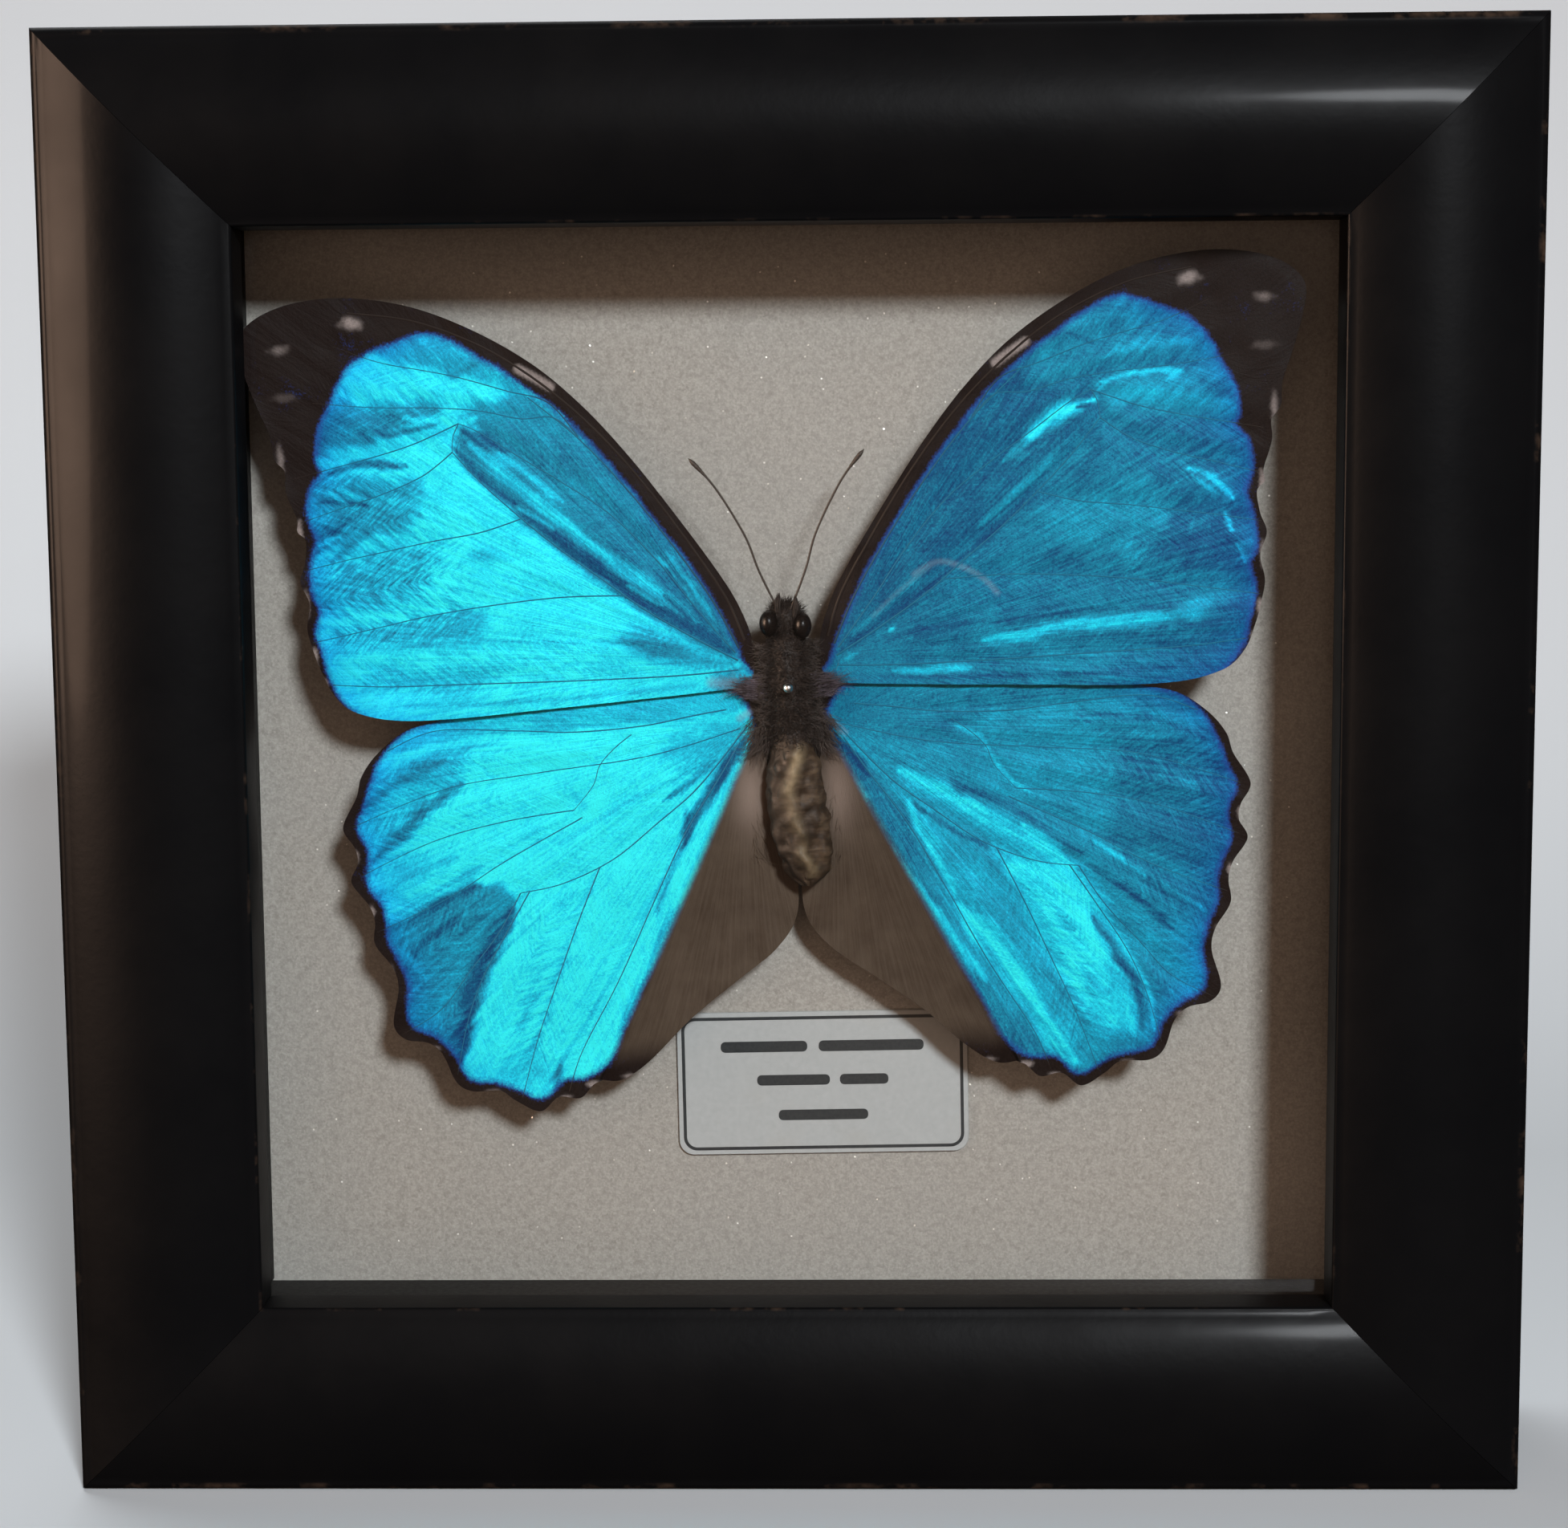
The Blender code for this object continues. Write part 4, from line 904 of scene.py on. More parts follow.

# painted highlight: how brightly the scales shine under the key light, painted into their colour, so the left wings are
# painted brighter than the right; a level everywhere, then areas, then strokes laid over them
# area: (loop, level, softness); stroke: (path, half width, level)
paintedSheenOf = {
    ("forewing", -1): {
        "barred": 1.0, "level": 0.95,
        "areas": [
            ([(5, 3), (12.6, 7.3), (22.6, 14.6), (32.5, 23), (40.2, 31.3), (38.4, 35.6), (32, 38.5), (20, 31), (8, 14)],
             0.42, 0.9),
            ([(26, 37), (34, 37.4), (38, 36.6), (37, 35), (28, 33)], 0.5, 1.6),
            ([(6, 5), (13, 9), (20, 15), (22, 21), (16, 22), (8, 12)], 0.34, 2.0),
            ([(31, 37.9), (43, 42), (54, 45), (44, 48), (34, 43)], 0.66, 0.6),
            ([(42, 36.6), (59, 38.4), (59, 31.6), (50, 32.8)], 0.42, 1.0),
            ([(44.5, 28), (60, 30), (60, 19), (46, 22.2), (44.6, 24)], 0.60, 1.0),
            ([(43, 20), (60, 18), (60, 11.5), (50, 12), (44.5, 15)], 0.66, 1.6),
            ([(37, 11.6), (56, 10.4), (56, 8), (46, 7.6), (38, 8.6)], 0.68, 0.9),
            ([(33, 4.4), (52, 4.8), (55, 2.0), (40, 1.6)], 0.78, 0.9),
            ([(7, 3.2), (12, 5.4), (17, 7.4), (20.5, 6.6), (17, 4.4), (10, 2.9)], 0.42, 1.6),
            ([(5, 2.2), (9, 2), (10, -1), (4, -1)], 0.45, 1.2),
        ],
        "strokes": [
            ([(7, 4.6), (13, 8.6), (19, 12.6), (25, 17.6), (29.6, 21.6), (33, 24.6)], 0.95, 0.12),
            ([(33, 24.2), (36.4, 27.6), (39.8, 31.4)], 0.45, 0.2),
            ([(14.6, 12.0), (20, 16.0), (25, 20.2), (30, 24.6), (35, 29.4), (38, 32.2)], 0.75, 0.86),
            ([(27, 24.6), (31, 28.0), (34.6, 31.2), (39, 35.6)], 0.45, 0.8),
            ([(33.6, 31.0), (36, 32.6), (38.6, 33.8)], 0.75, 0.15),
            ([(15, 10.6), (19.4, 13.6)], 0.28, 0.62), ([(28, 21.0), (33, 24.4)], 0.26, 0.78),
            ([(10.6, 9.4), (13, 13.4), (15.4, 16.8)], 0.34, 0.74),
            ([(9.0, 9.0), (11.4, 13.0), (14.2, 17.2)], 0.28, 0.66),
            ([(11, 8.6), (14.6, 12.2), (17.6, 15.4)], 0.30, 0.58), ([(12.6, 9.4), (17, 13.2), (21, 17)], 0.3, 0.66),
            ([(10, 8.6), (12.4, 12.2), (14.8, 15.6)], 0.24, 0.12), ([(11.6, 8.8), (15.4, 12.4)], 0.24, 0.15),
            ([(39.4, 34.2), (43, 33.6), (47, 32.6), (53, 31.6), (56, 30.8)], 0.85, 0.84),
            ([(38.6, 35.8), (42, 35.4), (45.6, 35.8)], 0.6, 0.9), ([(41.6, 35.0), (45, 34.2), (49, 33.8)], 0.3, 0.35),
            ([(37, 35.4), (40, 34.4)], 0.7, 0.95),
            ([(46, 29.8), (51, 30.6), (56, 29.4)], 0.5, 0.3), ([(51, 25.2), (57.4, 26.2)], 0.3, 0.25),
            ([(52, 24.4), (55, 22.6), (57.6, 19.8)], 0.8, 0.34), ([(47, 24.0), (52, 21.6), (56, 18.4)], 0.5, 0.5),
            ([(55, 21.6), (57.4, 20.6)], 0.6, 0.8), ([(54.6, 26.8), (57.2, 27.4)], 0.5, 0.8),
            ([(55, 17.2), (57.6, 16.2)], 0.8, 0.8), ([(56, 12.6), (57.6, 13.2)], 0.6, 0.4),
            ([(40, 17.6), (36.4, 18.8), (33.4, 17.6)], 0.7, 0.8),
        ],
    },
    ("hindwing", -1): {
        "barred": 0.6, "level": 1.0,
        "areas": [
            ([(5, -3), (12, -3.6), (30, -4.4), (45, -4.6), (51, -6), (44, -1), (20, 2), (6, 1)], 0.78, 0.4),
            ([(6, -4), (14, -4.6), (17, -8), (12, -11), (6, -7)], 0.72, 1.5),
            ([(40, -5), (54, -8), (57, -20), (50, -16), (43, -11)], 0.80, 1.2),
            ([(44, -19), (56, -20), (55, -28), (50, -24)], 0.84, 1.5),
            ([(54.5, -29.5), (49, -26.2), (41.4, -22.6), (37.5, -23.6), (35.4, -25.8), (37.0, -29), (40.4, -34),
              (43, -40), (44.2, -47), (48, -45), (54, -40)], 0.50, 0.6),
            ([(30, -50), (36, -52), (42, -50), (40, -46), (35, -45)], 0.86, 1.5),
        ],
        "strokes": [
            ([(36.6, -27), (40, -32), (42.6, -38), (44.4, -46)], 1.15, 0.13),
            ([(40.4, -23.4), (45.6, -25.4), (50.6, -28.4)], 0.5, 0.28),
            ([(43, -27.2), (48, -30.4), (51, -34)], 0.5, 0.26),
            ([(53.6, -29.8), (50.6, -31.6), (48, -34.8)], 0.45, 0.66), ([(46, -37), (47.6, -42)], 0.35, 0.6),
            ([(54, -19.6), (50, -16.2), (46, -13.0), (42, -10.2)], 0.75, 0.42),
            ([(54.6, -12.8), (50, -9.6), (44, -7.2)], 0.6, 0.5), ([(54, -24.6), (49, -21.6), (43, -19.6)], 0.45, 0.72),
            ([(52.6, -27.4), (46, -23.8), (40, -21.0)], 0.4, 0.78),
            ([(6, -6.6), (9, -11), (12.4, -15.4), (14.6, -20)], 0.8, 0.18),
            ([(9.6, -9), (13, -11.6), (16.6, -13.8)], 0.35, 0.5),
            ([(14.6, -20), (16.6, -24), (18.6, -28.6)], 0.25, 0.6),
            ([(7, -9.6), (10.6, -17), (14.6, -25)], 0.3, 0.9), ([(15.4, -27.4), (19, -34.4), (23.6, -43)], 0.7, 0.74),
            ([(26, -22.8), (29.4, -30.4), (33, -39.8), (35.6, -46)], 0.5, 0.86),
            ([(34, -36), (36.4, -41.6)], 1.5, 0.88),
            ([(31.6, -47), (32.6, -50.4)], 0.4, 0.45), ([(28, -12), (26.4, -14.4)], 0.8, 0.86),
        ],
    },
    ("forewing", 1): {
        "barred": 0.25, "level": 0.33,
        "areas": [
            ([(5, 3), (14, 9), (26, 19), (34, 27), (39, 34), (30, 38), (20, 31), (8, 14)], 0.22, 1.0),
            ([(30, 24), (34, 22), (40, 30.6), (38, 32)], 0.30, 1.0),
            ([(33, 40), (44, 47), (54, 43), (55, 38.4), (42, 37.4), (32, 36)], 0.40, 0.8),
            ([(40, 35), (50, 37), (58, 36.6), (58, 31), (50, 32), (41, 32.6)], 0.50, 0.8),
            ([(33, 21), (40, 23), (47, 22), (48, 17), (42, 15), (33, 16.6)], 0.47, 2.2),
            ([(50, 21), (56, 19), (57, 12), (50, 11), (47, 15)], 0.20, 1.5),
            ([(36, 9.6), (56, 8.6), (56, 6), (36, 6)], 0.40, 1.4),
            ([(27, 3.6), (54, 3.2), (52, -1), (26, -1)], 0.40, 1.0),
            ([(46, 3), (57, 8), (58, 1), (50, -1)], 0.26, 1.5),
        ],
        "strokes": [
            ([(30.6, 28.6), (33, 30.6), (35.6, 32.4), (39.6, 33.4)], 0.85, 1.0),
            ([(37.4, 32.8), (38.9, 32.9)], 0.5, 0.1),
            ([(36, 42.2), (40, 43.8), (44, 43.6)], 0.6, 0.52), ([(41, 38.6), (45, 39.8), (51, 40.2)], 1.1, 0.66),
            ([(40, 35.4), (44.6, 36.6), (50.6, 36.4)], 0.35, 0.84), ([(41, 33.8), (46, 34), (52, 33.4)], 0.8, 0.62),
            ([(48.6, 35.4), (50.4, 36.6)], 0.35, 0.8), ([(53, 35), (56.4, 33)], 1.2, 0.3),
            ([(24.6, 18.6), (28.4, 21.8), (32, 24.8), (34.6, 27.6)], 0.32, 0.52),
            ([(29.6, 26.4), (33.6, 29.0)], 0.3, 0.44),
            ([(28, 26.6), (31, 29)], 0.5, 0.5),
            ([(50.6, 24.4), (52.8, 23.8), (54.6, 22.4), (56.2, 20.4)], 0.42, 0.86),
            ([(51.2, 23.6), (54.4, 21.0)], 0.26, 0.7),
            ([(54.4, 25.6), (57.2, 25.2)], 0.5, 0.5), ([(55.0, 18.6), (55.6, 16.8)], 0.85, 0.9),
            ([(56.4, 14.8), (57.2, 12.4)], 0.35, 0.62), ([(51.4, 19), (50.8, 16.4)], 0.25, 0.34),
            ([(24.4, 4.3), (28, 4.9), (33, 5.6), (38, 5.9), (44, 6.2), (48, 6.4)], 0.75, 0.80),
            ([(48, 6.6), (52.6, 7.8)], 1.2, 0.62), ([(13.4, 0.95), (18, 1.05), (23, 1.2)], 0.42, 0.72),
            ([(12.9, 6.2), (13.5, 6.5)], 0.28, 0.95), ([(7.4, 2.9), (8.6, 3.6)], 0.4, 0.6),
            ([(8, 5.8), (12.4, 9.2), (17.6, 13.4)], 0.3, 0.42), ([(6.6, 3.9), (13, 8.0), (19.4, 12.4)], 0.5, 0.10),
            ([(19.4, 12.4), (26, 17.6), (31, 22)], 0.35, 0.14),
        ],
    },
    ("hindwing", 1): {
        "barred": 0.45, "level": 0.46,
        "areas": [
            ([(5, -5), (14, -8), (22, -9), (21, -5), (10, 1), (4, -1)], 0.36, 1.2),
            ([(22, 2), (45, 0), (52, -6), (40, -3.6), (22, -4.4)], 0.36, 0.8),
            ([(24, -6), (38, -6), (36, -16), (28, -15)], 0.50, 2.0),
            ([(41, -9), (57, -9), (57, -26), (50, -32), (40, -24)], 0.30, 2.5),
            ([(6, -9), (14, -15.6), (17, -24), (13, -26), (7, -13)], 0.30, 0.8),
            ([(37, -26), (46, -31), (52, -33), (50, -42), (44, -38)], 0.52, 1.5),
            ([(25.6, -22.4), (30, -23.4), (35.6, -25.6), (38, -30), (40, -35), (42, -46), (36, -47), (31.6, -40),
              (28, -30)], 0.80, 1.7),
            ([(13, -14), (19, -18), (26, -26), (30, -36), (30, -44), (26, -41), (20, -31), (16, -22)], 0.62, 1.6),
            ([(26, -38), (31, -38), (38, -48), (31, -49)], 0.60, 1.2),
            ([(24, -42), (30, -47), (29, -50), (24, -47)], 0.34, 1.2),
        ],
        "strokes": [
            ([(13.4, -11.6), (19, -14.6), (24, -18.2), (30, -21.6), (34.6, -24.8)], 1.1, 0.88),
            ([(20.4, -15.0), (24.4, -17.6)], 0.3, 1.0),
            ([(20, -13.6), (26.6, -16.2), (31, -19.6), (36, -23.2)], 0.5, 0.28),
            ([(14.4, -15.4), (19.6, -19.2), (24.4, -22)], 0.3, 0.2),
            ([(28.4, -19.4), (33.6, -23.6)], 0.8, 0.96), ([(27, -24.4), (33, -27), (36, -32), (38, -40)], 1.9, 1.0),
            ([(30, -27), (33, -34), (36, -42)], 0.8, 0.97),
            ([(14.2, -15.2), (15.8, -19.4), (18, -24), (19.8, -28)], 0.45, 0.88),
            ([(16, -17.4), (18.4, -21.8)], 0.3, 0.8),
            ([(20.2, -29), (23.6, -33.6), (27.2, -39), (30.4, -45), (33.8, -50)], 1.3, 0.98),
            ([(22.6, -26), (26, -31), (29, -36)], 0.8, 0.52), ([(28, -33), (32, -39), (36, -45)], 0.35, 0.6),
            ([(7.4, -12), (10.4, -18.4), (14.4, -25.4), (18.6, -31.8), (23, -39)], 0.5, 0.84),
            ([(9, -15), (13, -22), (17.6, -29)], 0.3, 0.36),
            ([(37, -31.4), (39.4, -35.4), (42, -41), (42.6, -46)], 0.55, 0.22),
            ([(38.6, -32), (42, -37.4), (43.8, -42), (43.9, -46.4)], 0.32, 0.84),
            ([(36.4, -29.4), (39.8, -33.4)], 0.5, 0.7),
            ([(37.2, -21.6), (40.4, -23.6), (43.6, -26.2)], 0.26, 0.82), ([(41, -24), (47, -28), (52, -32)], 0.22, 0.5),
            ([(43, -23), (48, -26), (52.6, -28.4)], 0.8, 0.44), ([(36.4, -24.4), (42, -28.6), (47, -33.4)], 0.5, 0.26),
            ([(20.2, -5.9), (23.6, -7.6), (25, -10), (26.4, -12.4), (29.4, -15)], 0.28, 0.76),
            ([(5.6, -6.8), (9.4, -11.8)], 0.6, 0.04), ([(6, -6.4), (12, -12.6)], 0.22, 0.6),
            ([(20, -1.2), (30, -1.4), (40, -1.6)], 0.35, 0.55), ([(40.6, -43), (41.6, -46.6)], 0.6, 0.95),
            ([(36, -40), (39, -45)], 0.9, 0.9),
        ],
    },
}
# pale grey-blue marks laid over the scales along these paths: path, half width, strength
paleMarkPlaces = {("forewing", 1): [([(16.4, 13.2), (19.4, 14.6), (22.4, 13.8), (25.0, 12.2), (26.6, 10.4)], 0.35, 0.30),
                                  ([(19.0, 14.4), (14.4, 11.2), (11, 8.2)], 0.25, 0.18)],
                ("hindwing", 1): [([(28, -0.6), (34, -1.0), (41, -1.4)], 0.5, 0.35),
                                  ([(5.4, -5.0), (6.8, -6.4)], 0.35, 0.5)],
                ("forewing", -1): [([(7.0, 0.6), (9.6, 0.9)], 0.7, 0.4)],
                ("hindwing", -1): [([(5.2, -3.2), (6.4, -3.9)], 0.45, 0.4)]}
wingRelief = {"membrane": 0.16, "wave": 0.16, "waveSize": 11.0, "pleat": 0.05, "curl": 0.22, "ribbing": 0.03}


def veinPaths(wing):
    return [smoothPath(points, 6) for _, points in wing["veins"].values()]


def wingFields(wing, spots):
    # distances that the relief and the pattern are worked out from
    base = np.array(wing["base"])
    offset = spots - base
    reach = np.hypot(offset[:, 0], offset[:, 1])
    bearing = np.arctan2(offset[:, 1], offset[:, 0])
    rib = np.full(len(spots), 1e9)
    for path in veinPaths(wing):
        rib = np.minimum(rib, pathDistance(spots, path)[0])
    edge = insideDistance(spots, smoothPath(wing["outline"], 4, closed=True))
    return reach, bearing, rib, edge


def wingDepth(wing, side, spots, fields):
    # depth of the wing's front face: membrane between ribs, long waves, pleats and a curled rim
    s = wingRelief
    reach, bearing, rib, edge = fields
    depth = wing["depth"] - wing["rise"] * spots[:, 0]
    if "foldLine" in wing:
        far, hand = pathDistance(spots, wing["foldLine"])
        inner = np.where((hand < 0) & (spots[:, 1] < wing["foldLine"][0][1]), far, 0)
        depth += wing["foldDrop"] * (1 - np.exp(-inner * wing["foldSlope"] / wing["foldDrop"]))
    seed = 7 if side > 0 else 19
    calm = softStep(reach, 3, 14)
    wave = valueNoise(spots[:, 0] / s["waveSize"] + 5, spots[:, 1] / s["waveSize"] + 9, seed)
    pleat = valueNoise(bearing * 26, reach / 16 + 3, seed + 1) + 0.5 * valueNoise(bearing * 61, reach / 9, seed + 2)
    ripple = valueNoise((reach - 1.1 * rib) / 1.1, bearing * 9, seed + 3)
    curl = valueNoise(spots[:, 0] / 3.4, spots[:, 1] / 3.4, seed + 4) * np.exp(-np.maximum(edge, 0) / 2.2)
    depth -= calm * (s["membrane"] * (1 - np.exp(-(rib / 1.8) ** 2)) + s["wave"] * wave + s["pleat"] * pleat)
    depth -= calm * s["ribbing"] * ripple + s["curl"] * curl
    return depth


def latticeIn(loop, pitch):
    # triangles of a fine even lattice inside a loop, whose edge points are moved on to the loop
    loop = np.asarray(loop)
    low, high = loop.min(0) - 2 * pitch, loop.max(0) + 2 * pitch
    rowPitch = pitch * math.sqrt(3) / 2
    rows, cols = int((high[1] - low[1]) / rowPitch), int((high[0] - low[0]) / pitch)
    r, c = np.meshgrid(np.arange(rows), np.arange(cols), indexing="ij")
    spots = np.stack([low[0] + (c + 0.5 * (r % 2)) * pitch, low[1] + r * rowPitch], axis=-1).reshape(-1, 2)
    inside = insideDistance(spots, loop)
    index = np.arange(rows * cols).reshape(rows, cols)
    a, b = index[:-1, :-1], index[:-1, 1:]
    d, e = index[1:, :-1], index[1:, 1:]
    odd = (np.arange(rows - 1) % 2 == 1)[:, None] & np.ones(a.shape, dtype=bool)
    tris = np.concatenate([np.stack([a, b, d], -1)[~odd], np.stack([b, e, d], -1)[~odd],
                           np.stack([a, b, e], -1)[odd], np.stack([a, e, d], -1)[odd]])
    tris = tris[(inside[tris] > 0.15 * pitch).any(axis=1)]
    used, compact = np.unique(tris, return_inverse=True)
    spots, inside, tris = spots[used], inside[used], compact.reshape(-1, 3)
    loose = inside < 0.15 * pitch
    start, end = loop, np.roll(loop, -1, axis=0)
    outer = spots[loose]
    best, moved = np.full(len(outer), 1e9), outer.copy()
    for p, q in zip(start, end):
        t = np.clip(((outer - p) @ (q - p)) / max((q - p) @ (q - p), 1e-12), 0, 1)
        foot = p + t[:, None] * (q - p)
        far = np.hypot(*(outer - foot).T)
        nearer = far < best
        best = np.where(nearer, far, best)
        moved[nearer] = foot[nearer]
    spots[loose] = moved
    area = np.cross(spots[tris[:, 1]] - spots[tris[:, 0]], spots[tris[:, 2]] - spots[tris[:, 0]])
    return spots, tris[np.abs(area) > 1e-4 * pitch * pitch]


def shellOf(tris, count):
    # the same triangles turned over for the back, and walls along the open edge
    back = tris[:, ::-1] + count
    edges = np.concatenate([tris[:, [0, 1]], tris[:, [1, 2]], tris[:, [2, 0]]])
    key = np.sort(edges, axis=1)
    _, first, times = np.unique(key, axis=0, return_index=True, return_counts=True)
    rim = edges[first[times == 1]]
    walls = np.concatenate([np.stack([rim[:, 1], rim[:, 0], rim[:, 0] + count], -1),
                            np.stack([rim[:, 1], rim[:, 0] + count, rim[:, 1] + count], -1)])
    return back, walls


def paintSheen(wing, side, spots, fields):
    # painted highlight: how much of the key light each spot of the scales is painted as reflecting
    reach, bearing, _, _ = fields
    paint = paintedSheenOf[(wing["name"], side)]
    wobble = 0.35 * np.stack([valueNoise(spots[:, 0] / 1.9, spots[:, 1] / 1.9, 40),
                              valueNoise(spots[:, 0] / 1.9, spots[:, 1] / 1.9, 41)], axis=-1)
    paintedSheen = np.full(len(spots), paint["level"])
    # fibres that fan out from the base break up every edge
    fibre = 0.6 * valueNoise(bearing * 60, reach / 5, 44) + 0.5 * valueNoise(bearing * 140, reach / 3.4, 45)
    for loop, level, soft in paint["areas"]:
        weight = softStep(insideDistance(spots + wobble, loop) + (0.25 + 0.6 * soft) * fibre, -1.1 * soft, 1.1 * soft)
        paintedSheen += (level - paintedSheen) * weight
    for path, half, level in paint["strokes"]:
        path = smoothPath(path, 5)
        far, _ = pathDistance(spots + 0.5 * wobble, path)
        tip = np.minimum(np.hypot(*(spots - path[0]).T), np.hypot(*(spots - path[-1]).T))
        narrow = half * (0.35 + 0.65 * softStep(tip, 0, 3.5 * half))
        paintedSheen += (level - paintedSheen) * (1 - softStep(far + 0.7 * narrow * fibre, 0.05 * narrow, 1.9 * narrow))
    # each fold is a thin line of painted shade
    for path in wing["folds"]:
        far, _ = pathDistance(spots, smoothPath(path, 5))
        paintedSheen -= 0.16 * np.exp(-(far / 0.3) ** 2) * softStep(reach, 4, 10)
    return np.clip(paintedSheen, 0, 1)


def paintSpots(wing, spots):
    pale = np.zeros(len(spots))
    ragged = 0.3 * valueNoise(spots[:, 0] / 0.7, spots[:, 1] / 0.7, 46)
    for (x, z), wide, tall, level in wing["spots"]:
        far = np.hypot((spots[:, 0] - x) / wide, (spots[:, 1] - z) / tall)
        pale = np.maximum(pale, level * (1 - softStep(far + ragged, 0.3, 1.45)))
    if wing["streak"]:
        path, half, level = wing["streak"]
        far, _ = pathDistance(spots, smoothPath(path, 5))
        pale = np.maximum(pale, level * (1 - softStep(far, 0.5 * half, 1.2 * half)))
    return pale


def wingTopMaterial():
    mat, shader = newMaterial("wingScales", Specular_IOR_Level=0.07)
    along = uvOf(mat, "along")
    barbed = uvOf(mat, "barbs")
    where = objectCoords(mat)
    streaks = noise(mat, stretched(mat, along, (0.12, 2.6, 1.0)), 1.0, 4.0, 0.65)
    barbs = noise(mat, stretched(mat, barbed, (1.55, 0.62, 1.0)), 1.0, 4.0, 0.65)
    patches = noise(mat, where, 230.0, 3.0, 0.6)
    scales = noise(mat, where, 3300.0, 2.0, 0.75)
    # painted highlight: the scales are painted from deep blue to bright cyan as the painted sheen rises
    paintedSheen = attribute(mat, "paintedSheen")
    # the painted highlight is broken up most where the painted sheen is neither full nor gone, and on the barred outer
    # membrane
    swing = remap(mat, paintedSheen, 0.55, 1.0, 1.0, 0.80)
    barred = calc(mat, "ADD", 0.35, calc(mat, "MULTIPLY", attribute(mat, "barred"), 1.6))
    ruffle = calc(mat, "ADD", swung(mat, streaks, 0.70), swung(mat, barbs, barred))
    ruffle = calc(mat, "ADD", ruffle, swung(mat, patches, 0.40))
    ruffle = calc(mat, "ADD", ruffle, swung(mat, scales, 0.62))
    glow = calc(mat, "ADD", calc(mat, "MULTIPLY", paintedSheen, 0.95), calc(mat, "MULTIPLY", ruffle, swing), clamp=True)
    blue = ramp(mat, glow, [(0.0, rgb(0.003, 0.045, 0.155)), (0.22, rgb(0.005, 0.122, 0.255)),
                            (0.45, rgb(0.008, 0.262, 0.425)), (0.65, rgb(0.008, 0.425, 0.665)),
                            (0.84, rgb(0.012, 0.690, 0.915)), (1.0, rgb(0.030, 0.930, 1.000))])
    azure = mixed(mat, attribute(mat, "rimward"), blue, rgb(0.45, 0.70, 1.0), blend="MULTIPLY")
    mask = attribute(mat, "blue")
    ragged = calc(mat, "ADD", mask, swung(mat, patches, 0.6))
    ragged = calc(mat, "ADD", ragged, swung(mat, scales, 0.5))
    violet = remap(mat, ragged, 0.25, 0.85)
    blue = mixed(mat, violet, rgb(0.012, 0.060, 0.300), azure)
    brown = mixed(mat, scales, rgb(0.0055, 0.0028, 0.0024), rgb(0.018, 0.0100, 0.0085))
    base = mixed(mat, remap(mat, ragged, 0.12, 0.42), brown, blue)
    pale = calc(mat, "MULTIPLY", attribute(mat, "pale"), remap(mat, scales, 0.3, 0.7, 0.70, 1.1))
    base = mixed(mat, pale, base, rgb(0.40, 0.34, 0.325))
    # pale grey-blue marks laid over the scales along the listed paths
    base = mixed(mat, attribute(mat, "paleMark"), base, rgb(0.22, 0.32, 0.42))
    tissue = mixed(mat, patches, rgb(0.036, 0.022, 0.014), rgb(0.105, 0.078, 0.056))
    tissue = mixed(mat, remap(mat, streaks, 0.40, 0.75, 0.0, 0.45), tissue, rgb(0.125, 0.096, 0.074))
    tissue = mixed(mat, attribute(mat, "bare"), tissue, rgb(0.235, 0.180, 0.150))
    base = mixed(mat, attribute(mat, "tissue"), base, tissue)
    plug(mat, shader["Base Color"], base)
    shiny = calc(mat, "MULTIPLY", remap(mat, ragged, 0.15, 0.6), 0.16)
    plug(mat, shader["Metallic"], calc(mat, "MULTIPLY", shiny, calc(mat, "SUBTRACT", 1.0, attribute(mat, "tissue"))))
    plug(mat, shader["Roughness"], remap(mat, scales, 0.3, 0.7, 0.42, 0.60))
    height = calc(mat, "ADD", calc(mat, "MULTIPLY", scales, 0.5), calc(mat, "ADD", barbs, streaks))
    plug(mat, shader["Normal"], bumped(mat, height, 0.45, 0.00014))
    return mat


def wingUndersideMaterial():
    mat, shader = newMaterial("wingUnderside", Specular_IOR_Level=0.3)
    along = uvOf(mat, "along")
    where = objectCoords(mat)
    bands = noise(mat, stretched(mat, along, (0.16, 0.05, 1.0)), 1.0, 3.0)
    scales = noise(mat, where, 3800.0, 2.0, 0.7)
    base = ramp(mat, bands, [(0.35, rgb(0.040, 0.024, 0.016)), (0.5, rgb(0.085, 0.055, 0.036)),
                             (0.62, rgb(0.15, 0.115, 0.085)), (0.68, rgb(0.060, 0.038, 0.026))])
    plug(mat, shader["Base Color"], mixed(mat, calc(mat, "MULTIPLY", scales, 0.4), base, rgb(0.03, 0.02, 0.015)))
    plug(mat, shader["Roughness"], remap(mat, scales, 0.3, 0.7, 0.6, 0.8))
    return mat


def ribMaterial():
    mat, shader = newMaterial("wingRibs", Specular_IOR_Level=0.15)
    where = objectCoords(mat)
    fine = noise(mat, where, 1600.0, 3.0, 0.6)
    blue = mixed(mat, fine, rgb(0.005, 0.110, 0.215), rgb(0.008, 0.200, 0.330))
    brown = mixed(mat, fine, rgb(0.010, 0.0055, 0.0045), rgb(0.026, 0.016, 0.012))
    plug(mat, shader["Base Color"], mixed(mat, attribute(mat, "blue"), brown, blue))
    plug(mat, shader["Roughness"], remap(mat, fine, 0.2, 0.8, 0.45, 0.65))
    return mat


